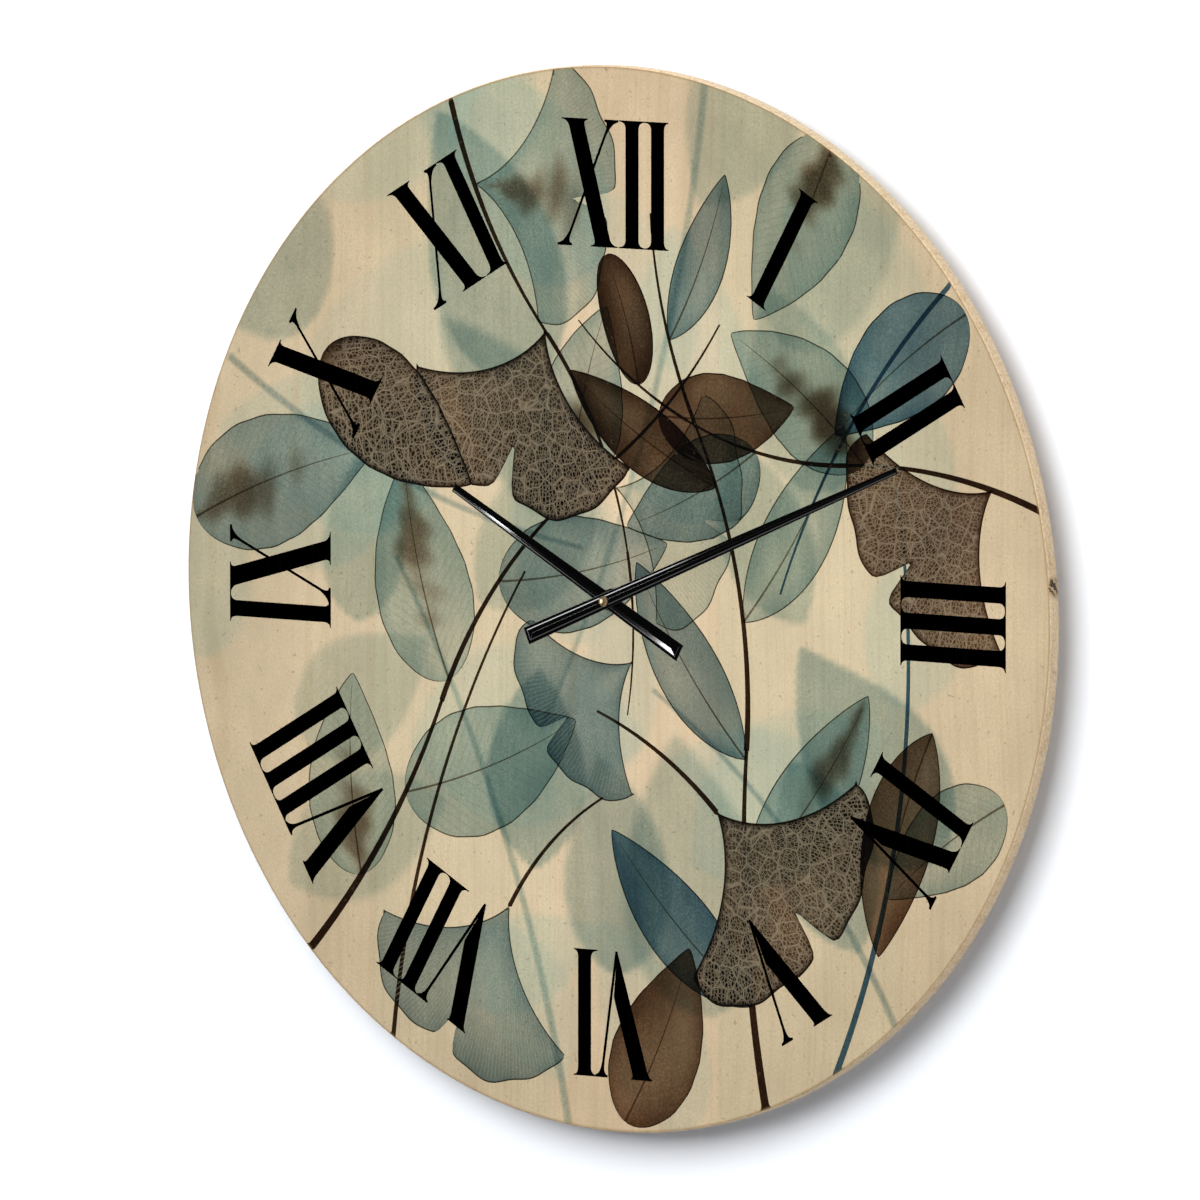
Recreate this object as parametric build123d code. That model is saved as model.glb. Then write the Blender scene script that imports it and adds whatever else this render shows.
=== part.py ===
"""Round wall clock: a printed disc of edge-glued pine boards, a battery quartz movement behind
it and two black baton hands in front.

Every piece is drawn in the dial frame: X to the right, Y up, Z out of the dial towards the
viewer, with the spindle on the Z axis and the dial's front face at Z = 0. hang_on_wall() turns
the finished pieces to the wall frame: +Z up, the dial facing -Y, and the origin at the centre
of the hanger's hole. All sizes are in millimetres.
"""
import os
from math import acos, atan2, cos, degrees, pi, radians, sin, tan

from build123d import *

# --- Dial disc -----------------------------------------------------------------------------
DIAL_DIAMETER = 584.0
DIAL_THICKNESS = 8.0
RIM_EASE = 0.6                       # sanded bevel on both faces
GLUE_JOINTS_X = (-166.0, -41.0, 69.0, 190.0)
SPINDLE_HOLE_D = 8.8

# --- Hands ---------------------------------------------------------------------------------
HAND_SHEET = 0.5                     # flat border of the pressed hand
HAND_BORDER = 0.20                   # share of the width left flat on each side of the roof
HAND_ROOF_SLOPE = 0.42
MINUTE_TIP, MINUTE_TAIL = 212.0, 57.5
MINUTE_TIP_W, MINUTE_TAIL_W = 3.6, 9.8
HOUR_TIP, HOUR_TAIL = 119.0, 55.0
HOUR_TIP_W, HOUR_TAIL_W = 4.8, 10.0
MINUTE_ANGLE = 67.3                  # clockwise from twelve, as the hands rest
HOUR_ANGLE = 298.3
HOUR_HAND_Z = 4.5                    # underside above the dial face
MINUTE_HAND_Z = 7.4
CAP_SEAT = 0.9                       # height of the cap nut's seat in the minute hand
CAP_D, CAP_H = 5.8, 2.7

# --- Battery and movement case ---------------------------------------------------------------
BATTERY_R, BATTERY_LEN, BATTERY_NUB_R, BATTERY_NUB_H = 7.1, 49.0, 2.6, 1.0
BATTERY_SLACK = 0.6                  # between the battery and the partition
CONTACT_T = 0.3
CONTACT_GAP = 0.1                    # between a contact strip and the case wall
SPRING_ROOM = 2.2                    # left for the minus contact's bow
CASE_CORNER_R = 3.0
CASE_DEPTH = 16.0
CASE_WALL = 1.6
INNER_HALF = (BATTERY_LEN + BATTERY_NUB_H + SPRING_ROOM + 2 * CONTACT_T) / 2
CASE_SIDE = 2 * (INNER_HALF + CASE_WALL)
PLAN = INNER_HALF / 26.4             # wheels and motor spread with the case
GASKET_T, GASKET_D = 1.0, 34.0
CASE_FRONT = -DIAL_THICKNESS - GASKET_T
CASE_BACK = CASE_FRONT - CASE_DEPTH
FRONT_INNER = CASE_FRONT - CASE_WALL
COVER_T = 1.6
BACK_INNER = CASE_BACK + COVER_T
PARTITION_T = 1.0                    # wall between the gear space and the battery
PARTITION_TOP = -10.6 * PLAN          # clear of the largest wheel
INNER_LOW_Y = PARTITION_TOP - PARTITION_T - BATTERY_SLACK - 2 * BATTERY_R
INNER_HIGH_Y = INNER_LOW_Y + 2 * INNER_HALF
CASE_LOW_Y, CASE_HIGH_Y = INNER_LOW_Y - CASE_WALL, INNER_HIGH_Y + CASE_WALL
BATTERY_FLOOR_T = 0.9
FIT_GAP = 0.05                       # between fixed pieces that plug together
RUN_GAP = 0.06                       # radial running clearance of every arbor
LOOSE_GAP = 0.4

# --- Threaded bushing, nut and washer --------------------------------------------------------
BUSHING_R = 4.0
BUSHING_FLANGE_R, BUSHING_FLANGE_T = 6.0, 0.8
BUSHING_TOP = 3.4
WASHER_R, WASHER_T = 6.4, 0.5
NUT_ACROSS_FLATS, NUT_T = 11.0, 2.1

# --- Hanger --------------------------------------------------------------------------------
HANGER_T, HANGER_W, HANGER_HOLE_R = 1.2, 16.0, 3.5
HOLE_ABOVE_CASE = 6.0
HANG_RISE = CASE_HIGH_Y + HOLE_ABOVE_CASE    # hook hole above the spindle
HANGER_Z = BACK_INNER + HANGER_T / 2
HANGER_PIP_R = 1.2

# --- Gear train: teeth, modules and the levels of each wheel ---------------------------------
PRESSURE_ANGLE = radians(25.0)
ADDENDUM, DEDENDUM = 0.7, 0.95       # in modules; short teeth suit the small pinions
TOOTH_THINNING = 0.055               # backlash given to each tooth
WORK_MODULE = 0.3 * PLAN             # motion work and setting knob
CANNON_Z, REVERSER_Z, REVERSER_PINION_Z, HOUR_WHEEL_Z, KNOB_Z = 15, 45, 12, 48, 15
CENTRE_MODULE, CENTRE_Z, THIRD_PINION_Z = 0.25 * PLAN, 64, 8
THIRD_Z, SECOND_PINION_Z = 60, 8
SECOND_MODULE, SECOND_Z, INTER_PINION_Z = 0.25 * PLAN, 60, 10
ROTOR_MODULE, INTER_Z, ROTOR_PINION_Z = 0.22 * PLAN, 50, 10
WORK_DISTANCE = WORK_MODULE * (CANNON_Z + REVERSER_Z) / 2
THIRD_DISTANCE = CENTRE_MODULE * (CENTRE_Z + THIRD_PINION_Z) / 2
THIRD_MODULE = 2 * THIRD_DISTANCE / (THIRD_Z + SECOND_PINION_Z)
INTER_DISTANCE = SECOND_MODULE * (SECOND_Z + INTER_PINION_Z) / 2
ROTOR_DISTANCE = ROTOR_MODULE * (INTER_Z + ROTOR_PINION_Z) / 2
REVERSER_DIR, KNOB_DIR, THIRD_DIR, INTER_DIR, ROTOR_DIR = 180.0, 150.0, 60.0, -20.0, -10.0

HOUR_LEVEL = (FRONT_INNER - 1.4, FRONT_INNER - 0.5)
REVERSER_LEVEL = (FRONT_INNER - 3.0, FRONT_INNER - 2.2)
CANNON_LEVEL = (FRONT_INNER - 3.1, FRONT_INNER - 2.1)
CENTRE_LEVEL = (FRONT_INNER - 4.4, FRONT_INNER - 3.8)
THIRD_PINION_LEVEL = (FRONT_INNER - 4.5, FRONT_INNER - 3.7)
PLATE_LEVEL = (FRONT_INNER - 5.6, FRONT_INNER - 4.8)
THIRD_LEVEL = (FRONT_INNER - 6.8, FRONT_INNER - 6.2)
SECOND_PINION_LEVEL = (FRONT_INNER - 6.9, FRONT_INNER - 6.1)
SECOND_LEVEL = (FRONT_INNER - 8.3, FRONT_INNER - 7.7)
INTER_PINION_LEVEL = (FRONT_INNER - 8.4, FRONT_INNER - 7.6)
INTER_LEVEL = (FRONT_INNER - 9.7, FRONT_INNER - 9.1)
ROTOR_PINION_LEVEL = (FRONT_INNER - 9.9, FRONT_INNER - 8.9)
MAGNET_LEVEL = (BACK_INNER + 0.8, BACK_INNER + 2.4)
STATOR_LEVEL = (BACK_INNER + 1.2, BACK_INNER + 2.0)

PIVOT_R, PIVOT_LEN = 0.4, 0.8
ARBOR_R = 0.55
MINUTE_ARBOR_R = 1.65
MINUTE_PIVOT_R = 1.0
MINUTE_THREAD_R = 1.25
HOUR_PIPE_R = 2.55
KNOB_R, KNOB_SHAFT_R, KNOB_WELL_R = 5.2 * PLAN, 1.0, 5.8 * PLAN
WELL_FLOOR = (BACK_INNER + 1.8, BACK_INNER + 2.6)
MAGNET_R, STATOR_HOLE_R, STATOR_RING_R = 3.0 * PLAN, 3.35 * PLAN, 5.2 * PLAN

# --- Electrical pieces ----------------------------------------------------------------------
COIL_X, COIL_LOW, COIL_HIGH = 22.3 * PLAN, -1.2 * PLAN, 12.2 * PLAN
COIL_R, BOBBIN_HALF, BOBBIN_FLANGE_T = 2.5, 3.0, 0.8
CORE_W, CORE_T = 2.4, 0.8
BOARD_HIGH_Y = INNER_HIGH_Y - 0.8
BOARD_LOW_Y = BOARD_HIGH_Y - 6.1
BOARD_MID_Y = (BOARD_LOW_Y + BOARD_HIGH_Y) / 2
PCB_T = 1.0


def polar(distance, angle):
    """Point at a distance and an angle in degrees from +X."""
    return distance * cos(radians(angle)), distance * sin(radians(angle))


REVERSER_XY = polar(WORK_DISTANCE, REVERSER_DIR)
KNOB_STEP = polar(WORK_DISTANCE, KNOB_DIR)
KNOB_XY = (REVERSER_XY[0] + KNOB_STEP[0], REVERSER_XY[1] + KNOB_STEP[1])
THIRD_XY = polar(THIRD_DISTANCE, THIRD_DIR)
INTER_XY = polar(INTER_DISTANCE, INTER_DIR)
ROTOR_STEP = polar(ROTOR_DISTANCE, ROTOR_DIR)
ROTOR_XY = (INTER_XY[0] + ROTOR_STEP[0], INTER_XY[1] + ROTOR_STEP[1])
PCB_LEVEL = (BACK_INNER + 3.4, BACK_INNER + 3.4 + PCB_T)
CORE_LEVEL = (BACK_INNER + 2.8, BACK_INNER + 2.8 + CORE_T)
BATTERY_Y = INNER_LOW_Y + BATTERY_R
BATTERY_Z = CASE_FRONT - BATTERY_FLOOR_T - BATTERY_R - 0.3


# --- Small builders ---------------------------------------------------------------------------
def rod(xy, radius, low, high):
    """Round bar along Z between two heights."""
    return Pos(xy[0], xy[1], (low + high) / 2) * Cylinder(radius, high - low)


def block(x_range, y_range, z_range):
    """Box between three pairs of limits."""
    spans = (x_range, y_range, z_range)
    centre = [(low + high) / 2 for low, high in spans]
    return Pos(*centre) * Box(*[high - low for low, high in spans])


def fused(*pieces):
    """One solid made of overlapping pieces."""
    body = pieces[0]
    for piece in pieces[1:]:
        body = body + piece
    return body


def hang_on_wall(shape):
    """Turn a piece from the dial frame to the wall frame."""
    return Pos(0, HANGER_Z, -HANG_RISE) * Rot(90, 0, 0) * shape


def save(name, *shapes):
    """Write one node: the single solids of the given shapes, placed in the wall frame."""
    solids = [solid for shape in shapes for solid in hang_on_wall(shape).solids()]
    node = solids[0] if len(solids) == 1 else Compound(children=solids)
    node.label = name
    export_step(node, f"parts/{name}.step")


# --- Spur gears -------------------------------------------------------------------------------
def involute(angle):
    return tan(angle) - angle


def tooth_half_angle(teeth, module, radius):
    """Half the angle a tooth covers at a radius; straight below the base circle."""
    pitch_r = teeth * module / 2
    base_r = pitch_r * cos(PRESSURE_ANGLE)
    at_pitch = (pi * module / 2 - TOOTH_THINNING) / (2 * pitch_r)
    flank = acos(base_r / max(radius, base_r))
    return at_pitch + involute(PRESSURE_ANGLE) - involute(flank)


def gear(xy, teeth, module, level, phase):
    """Spur gear with one tooth centred at the phase angle, in degrees."""
    pitch_r = teeth * module / 2
    root_r = pitch_r - DEDENDUM * module
    tip_r = pitch_r + ADDENDUM * module
    start_r = max(root_r, pitch_r * cos(PRESSURE_ANGLE))
    radii = [start_r + (tip_r - start_r) * step / 3 for step in range(4)]
    if root_r < start_r:
        radii.insert(0, root_r)
    rise = [(-tooth_half_angle(teeth, module, r), r) for r in radii]
    tooth = rise + [(-angle, r) for angle, r in reversed(rise)]
    points = []
    for index in range(teeth):
        middle = radians(phase) + 2 * pi * index / teeth
        points += [(r * cos(middle + angle), r * sin(middle + angle)) for angle, r in tooth]
    profile = make_face(Polyline(*points, close=True))
    return Pos(xy[0], xy[1], level[0]) * extrude(profile, amount=level[1] - level[0])


def meshed_phase(teeth, driver_teeth, driver_phase, direction):
    """Phase of a gear that stands in mesh with a driver lying in the opposite direction."""
    offset = driver_teeth * (driver_phase - direction)
    return direction + 180.0 + (180.0 - offset) / teeth


CANNON_PHASE = 0.0
REVERSER_PHASE = meshed_phase(REVERSER_Z, CANNON_Z, CANNON_PHASE, REVERSER_DIR)
REVERSER_PINION_PHASE = 0.0
HOUR_WHEEL_PHASE = meshed_phase(
    HOUR_WHEEL_Z, REVERSER_PINION_Z, REVERSER_PINION_PHASE, REVERSER_DIR + 180.0
)
KNOB_PHASE = meshed_phase(KNOB_Z, REVERSER_Z, REVERSER_PHASE, KNOB_DIR)
CENTRE_PHASE = 0.0
THIRD_PINION_PHASE = meshed_phase(THIRD_PINION_Z, CENTRE_Z, CENTRE_PHASE, THIRD_DIR)
THIRD_PHASE = 0.0
SECOND_PINION_PHASE = meshed_phase(SECOND_PINION_Z, THIRD_Z, THIRD_PHASE, THIRD_DIR + 180.0)
SECOND_PHASE = 0.0
INTER_PINION_PHASE = meshed_phase(INTER_PINION_Z, SECOND_Z, SECOND_PHASE, INTER_DIR)
INTER_PHASE = 0.0
ROTOR_PINION_PHASE = meshed_phase(ROTOR_PINION_Z, INTER_Z, INTER_PHASE, ROTOR_DIR)


# --- Dial disc: five vertical boards glued edge to edge -----------------------------------------
def make_boards():
    disc = rod((0, 0), DIAL_DIAMETER / 2, -DIAL_THICKNESS, 0)
    disc = chamfer(disc.edges().filter_by(GeomType.CIRCLE), RIM_EASE)
    disc -= rod((0, 0), SPINDLE_HOLE_D / 2, -DIAL_THICKNESS - 1, 1)
    half = DIAL_DIAMETER / 2 + 1
    limits = (-half,) + GLUE_JOINTS_X + (half,)
    for number, span in enumerate(zip(limits, limits[1:]), start=1):
        board = disc & block(span, (-half, half), (-DIAL_THICKNESS - 1, 1))
        save(f"pine_board_{number}", board)


# --- Hands: pressed sheet with a flat border and a hip-roof rib ---------------------------------
def roof(tip, tail, tip_w, tail_w, base_z):
    """Rib over a tapered plan: two long slopes at one pitch and a short slope at each end."""
    run = tip + tail
    taper = cos(atan2((tail_w - tip_w) / 2, run))
    tail_x, tip_x = -tail + 1.2 * tail_w / 2, tip - 1.2 * tip_w / 2

    def ridge_z(x):
        width = tail_w + (tip_w - tail_w) * (x + tail) / run
        return base_z + HAND_ROOF_SLOPE * taper * width / 2

    foot = [
        Vector(-tail, -tail_w / 2, base_z),
        Vector(tip, -tip_w / 2, base_z),
        Vector(tip, tip_w / 2, base_z),
        Vector(-tail, tail_w / 2, base_z),
    ]
    ridge_tail = Vector(tail_x, 0, ridge_z(tail_x))
    ridge_tip = Vector(tip_x, 0, ridge_z(tip_x))
    loops = [
        foot,
        [foot[0], foot[1], ridge_tip, ridge_tail],
        [foot[2], foot[3], ridge_tail, ridge_tip],
        [foot[1], foot[2], ridge_tip],
        [foot[3], foot[0], ridge_tail],
    ]
    return Solid(Shell([Face(Wire.make_polygon(loop)) for loop in loops]))


def make_hand(tip, tail, tip_w, tail_w, low_z, bore_r):
    """Baton hand pointing along +X, with its bore on the spindle."""
    outline = [(-tail, -tail_w / 2), (tip, -tip_w / 2), (tip, tip_w / 2), (-tail, tail_w / 2)]
    sheet = extrude(make_face(Polyline(*outline, close=True)), amount=HAND_SHEET)
    inner = 1 - 2 * HAND_BORDER
    rib = roof(
        tip - HAND_BORDER * tip_w,
        tail - HAND_BORDER * tail_w,
        inner * tip_w,
        inner * tail_w,
        HAND_SHEET - 0.001,
    )
    hand = Pos(0, 0, low_z) * (sheet + rib)
    return hand - rod((0, 0), bore_r, low_z - 1, low_z + 5)


def make_hands():
    hour = make_hand(
        HOUR_TIP, HOUR_TAIL, HOUR_TIP_W, HOUR_TAIL_W, HOUR_HAND_Z, HOUR_PIPE_R + FIT_GAP
    )
    save("hour_hand", Rot(0, 0, 90 - HOUR_ANGLE) * hour)
    minute = make_hand(
        MINUTE_TIP,
        MINUTE_TAIL,
        MINUTE_TIP_W,
        MINUTE_TAIL_W,
        MINUTE_HAND_Z,
        MINUTE_ARBOR_R + FIT_GAP,
    )
    seat = MINUTE_HAND_Z + CAP_SEAT
    minute -= rod((0, 0), CAP_D / 2 + 0.2, seat, seat + 5)
    save("minute_hand", Rot(0, 0, 90 - MINUTE_ANGLE) * minute)

    # Domed cap nut with a blind threaded hole.
    dome_r = CAP_D / 2
    skirt = 0.9
    cap = rod((0, 0), dome_r, seat, seat + skirt)
    rise = CAP_H - skirt
    sphere_r = (dome_r**2 + rise**2) / (2 * rise)
    ball = Pos(0, 0, seat + CAP_H - sphere_r) * Sphere(sphere_r)
    dome = ball & rod((0, 0), dome_r, seat + skirt, seat + CAP_H + 1)
    cap = cap + dome - rod((0, 0), MINUTE_THREAD_R + FIT_GAP, seat - 1, seat + 1.9)
    save("cap_nut", cap)


# --- Movement case -------------------------------------------------------------------------------
def rounded_case(low, high):
    """Square block of the case outline with its upright edges rounded."""
    half = CASE_SIDE / 2
    body = block((-half, half), (CASE_LOW_Y, CASE_HIGH_Y), (low, high))
    return fillet(body.edges().filter_by(Axis.Z), CASE_CORNER_R)


def pivot_holes(body, spots, low, high, radius=PIVOT_R + RUN_GAP):
    for spot in spots:
        body -= rod(spot, radius, low, high)
    return body


MIDDLE_PLATE_X = (-24.5 * PLAN, 19.0 * PLAN)
MIDDLE_PLATE_Y = (PARTITION_TOP + 0.8, 18.0 * PLAN)
POST_X = (MIDDLE_PLATE_X[0] + 2.1, MIDDLE_PLATE_X[1] - 2.1)
POST_Y = (MIDDLE_PLATE_Y[0] + 2.0, MIDDLE_PLATE_Y[1] - 2.2)
PLATE_POSTS = [(x, y) for x in POST_X for y in POST_Y]
STATOR_EDGE_X, STATOR_ARM = COIL_X + CORE_W / 2 + 1.6, 3.4
STATOR_TOP = COIL_HIGH + 0.8
STATOR_POSTS = (
    (ROTOR_XY[0], 9.0 * PLAN),
    (STATOR_EDGE_X - 0.7, STATOR_TOP + STATOR_ARM / 2),
    (STATOR_EDGE_X - 0.7, ROTOR_XY[1]),
)
PCB_POSTS = ((-18.0 * PLAN, BOARD_MID_Y), (18.0 * PLAN, BOARD_MID_Y))


def make_front_case():
    """Tray with the gear space above the partition and the battery trough below it."""
    half = CASE_SIDE / 2
    body = rounded_case(CASE_BACK, CASE_FRONT)
    body -= block((-half - 1, half + 1), (PARTITION_TOP - PARTITION_T, CASE_HIGH_Y + 1),
                  (CASE_BACK - 1, BACK_INNER))
    body -= block((-INNER_HALF, INNER_HALF), (PARTITION_TOP, INNER_HIGH_Y),
                  (CASE_BACK - 1, FRONT_INNER))
    body -= block((-INNER_HALF, INNER_HALF), (INNER_LOW_Y, PARTITION_TOP - PARTITION_T),
                  (CASE_BACK - 1, CASE_FRONT - BATTERY_FLOOR_T))
    # Passages for the two contact strips through the partition.
    for side in (-1, 1):
        strip = sorted((side * (INNER_HALF - 1.2), side * INNER_HALF))
        body -= block(strip, (PARTITION_TOP - PARTITION_T - 0.1, PARTITION_TOP + 0.1),
                      (BACK_INNER, BACK_INNER + 8.0))
    # Seat of the threaded bushing, notch for the hanger, arbor holes and plate posts.
    body -= rod((0, 0), BUSHING_R + FIT_GAP, FRONT_INNER - 1, CASE_FRONT + 1)
    body -= rod((0, 0), BUSHING_FLANGE_R + FIT_GAP, FRONT_INNER - 1,
                FRONT_INNER + BUSHING_FLANGE_T)
    hanger_half = HANGER_W / 2 + 0.1
    body -= block((-hanger_half, hanger_half), (INNER_HIGH_Y - 0.1, CASE_HIGH_Y + 1),
                  (BACK_INNER - 1, BACK_INNER + HANGER_T + 0.1))
    body = pivot_holes(body, (REVERSER_XY, THIRD_XY, KNOB_XY), FRONT_INNER - 1,
                       FRONT_INNER + PIVOT_LEN + 0.1)
    for spot in PLATE_POSTS:
        body += rod(spot, 1.4, PLATE_LEVEL[1], FRONT_INNER + 0.5)
    save("movement_front_case", body)


def make_middle_plate():
    """Plate that carries the rear pivots of the motion work and the front ones of the train."""
    plate = block(MIDDLE_PLATE_X, MIDDLE_PLATE_Y, PLATE_LEVEL)
    through = (PLATE_LEVEL[0] - 1, PLATE_LEVEL[1] + 1)
    plate -= rod((0, 0), MINUTE_PIVOT_R + RUN_GAP, *through)
    plate -= rod(KNOB_XY, KNOB_SHAFT_R + RUN_GAP, *through)
    plate -= rod(THIRD_XY, 1.7, *through)
    plate = pivot_holes(plate, (REVERSER_XY, INTER_XY, ROTOR_XY), *through)
    save("middle_plate", plate)


def make_rear_cover():
    """Lid over the gear space, with the knob's well and the posts of stator and circuit board."""
    half = CASE_SIDE / 2
    cover = rounded_case(CASE_BACK, BACK_INNER)
    cover &= block((-half, half), (PARTITION_TOP - PARTITION_T + LOOSE_GAP, CASE_HIGH_Y),
                   (CASE_BACK, BACK_INNER))
    cover += rod(KNOB_XY, KNOB_WELL_R + 0.8, BACK_INNER - 0.5, WELL_FLOOR[1])
    cover -= rod(KNOB_XY, KNOB_WELL_R, CASE_BACK - 1, WELL_FLOOR[0])
    cover -= rod(KNOB_XY, KNOB_SHAFT_R + RUN_GAP, CASE_BACK - 1, WELL_FLOOR[1] + 1)
    for spot in STATOR_POSTS:
        cover += rod(spot, 1.1, BACK_INNER - 0.5, STATOR_LEVEL[0])
    for spot in PCB_POSTS:
        cover += rod(spot, 1.5, BACK_INNER - 0.5, PCB_LEVEL[0])
    for x in (-5.0, 5.0):
        cover += rod((x, INNER_HIGH_Y - 3.0), HANGER_PIP_R, BACK_INNER - 0.5,
                     BACK_INNER + HANGER_T)
    cover = pivot_holes(cover, ((0, 0), THIRD_XY, INTER_XY, ROTOR_XY),
                        BACK_INNER - PIVOT_LEN - 0.1, BACK_INNER + 1)
    save("movement_rear_cover", cover)


def make_fixings():
    """Bushing, gasket, washer and nut clamp the dial; the hanger carries it."""
    bushing = rod((0, 0), BUSHING_R, FRONT_INNER, BUSHING_TOP)
    bushing = chamfer(bushing.edges().sort_by(Axis.Z)[-1], 0.4)
    bushing += rod((0, 0), BUSHING_FLANGE_R, FRONT_INNER, FRONT_INNER + BUSHING_FLANGE_T)
    bushing -= rod((0, 0), HOUR_PIPE_R + RUN_GAP, FRONT_INNER - 1, BUSHING_TOP + 1)
    save("threaded_bushing", bushing)

    gasket = rod((0, 0), GASKET_D / 2, CASE_FRONT, -DIAL_THICKNESS)
    save("rubber_gasket", gasket - rod((0, 0), SPINDLE_HOLE_D / 2, CASE_FRONT - 1, 0))

    washer = rod((0, 0), WASHER_R, 0, WASHER_T)
    save("dial_washer", washer - rod((0, 0), BUSHING_R + 2 * FIT_GAP, -1, 1))

    nut = extrude(RegularPolygon(NUT_ACROSS_FLATS / 2, 6, major_radius=False), amount=NUT_T)
    corner_r = NUT_ACROSS_FLATS / 2 / cos(pi / 6)
    cone = Pos(0, 0, NUT_T / 2) * Cylinder(corner_r, NUT_T)
    nut &= chamfer(cone.edges().sort_by(Axis.Z)[-1], 0.5)
    nut = Pos(0, 0, WASHER_T) * nut
    save("dial_nut", nut - rod((0, 0), BUSHING_R + FIT_GAP, 0, WASHER_T + NUT_T + 1))

    low_y, top_y = INNER_HIGH_Y - 6.0, HANG_RISE
    level = (BACK_INNER, BACK_INNER + HANGER_T)
    hanger = block((-HANGER_W / 2, HANGER_W / 2), (low_y, top_y), level)
    hanger += rod((0, top_y), HANGER_W / 2, *level)
    hanger -= rod((0, top_y), HANGER_HOLE_R, level[0] - 1, level[1] + 1)
    for x in (-5.0, 5.0):
        hanger -= rod((x, INNER_HIGH_Y - 3.0), HANGER_PIP_R + FIT_GAP, level[0] - 1,
                      level[1] + 1)
    save("wall_hanger", hanger)


# --- Motion work: twelve turns of the minute hand make one of the hour hand ---------------------
def make_motion_work():
    pipe_top = HOUR_HAND_Z + HAND_SHEET + 1.1
    wheel = gear((0, 0), HOUR_WHEEL_Z, WORK_MODULE, HOUR_LEVEL, HOUR_WHEEL_PHASE)
    wheel += rod((0, 0), HOUR_PIPE_R, HOUR_LEVEL[0], pipe_top)
    wheel -= rod((0, 0), MINUTE_ARBOR_R + RUN_GAP, HOUR_LEVEL[0] - 1, pipe_top + 1)
    save("hour_wheel", wheel)

    seat = MINUTE_HAND_Z + CAP_SEAT
    arbor = fused(
        rod((0, 0), MINUTE_ARBOR_R, PLATE_LEVEL[1] + 0.1, seat - 0.1),
        rod((0, 0), MINUTE_PIVOT_R, PLATE_LEVEL[0] - 0.1, PLATE_LEVEL[1] + 0.2),
        rod((0, 0), MINUTE_THREAD_R, seat - 0.2, seat + 1.8),
        gear((0, 0), CANNON_Z, WORK_MODULE, CANNON_LEVEL, CANNON_PHASE),
    )
    socket_top = PLATE_LEVEL[0] + PIVOT_LEN + 0.2
    arbor -= rod((0, 0), PIVOT_R + RUN_GAP, PLATE_LEVEL[0] - 1, socket_top)
    save("minute_arbor", arbor)

    reverser = fused(
        gear(REVERSER_XY, REVERSER_Z, WORK_MODULE, REVERSER_LEVEL, REVERSER_PHASE),
        gear(REVERSER_XY, REVERSER_PINION_Z, WORK_MODULE,
             (REVERSER_LEVEL[1], FRONT_INNER - 0.3), REVERSER_PINION_PHASE),
        rod(REVERSER_XY, ARBOR_R, PLATE_LEVEL[1] + 0.1, REVERSER_LEVEL[0] + 0.1),
        rod(REVERSER_XY, PIVOT_R, PLATE_LEVEL[0], FRONT_INNER + PIVOT_LEN),
    )
    save("reversing_wheel", reverser)

    knob = rod(KNOB_XY, KNOB_R, CASE_BACK + 0.3, WELL_FLOOR[0] - 0.2)
    for step in range(24):
        spot = polar(KNOB_R, 15.0 * step)
        knob -= rod((KNOB_XY[0] + spot[0], KNOB_XY[1] + spot[1]), 0.35, CASE_BACK, WELL_FLOOR[0])
    knob = fused(
        knob,
        rod(KNOB_XY, KNOB_SHAFT_R, WELL_FLOOR[0] - 0.3, CANNON_LEVEL[0] + 0.1),
        gear(KNOB_XY, KNOB_Z, WORK_MODULE, CANNON_LEVEL, KNOB_PHASE),
        rod(KNOB_XY, PIVOT_R, CANNON_LEVEL[0], FRONT_INNER + PIVOT_LEN),
    )
    save("setting_knob", knob)


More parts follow.
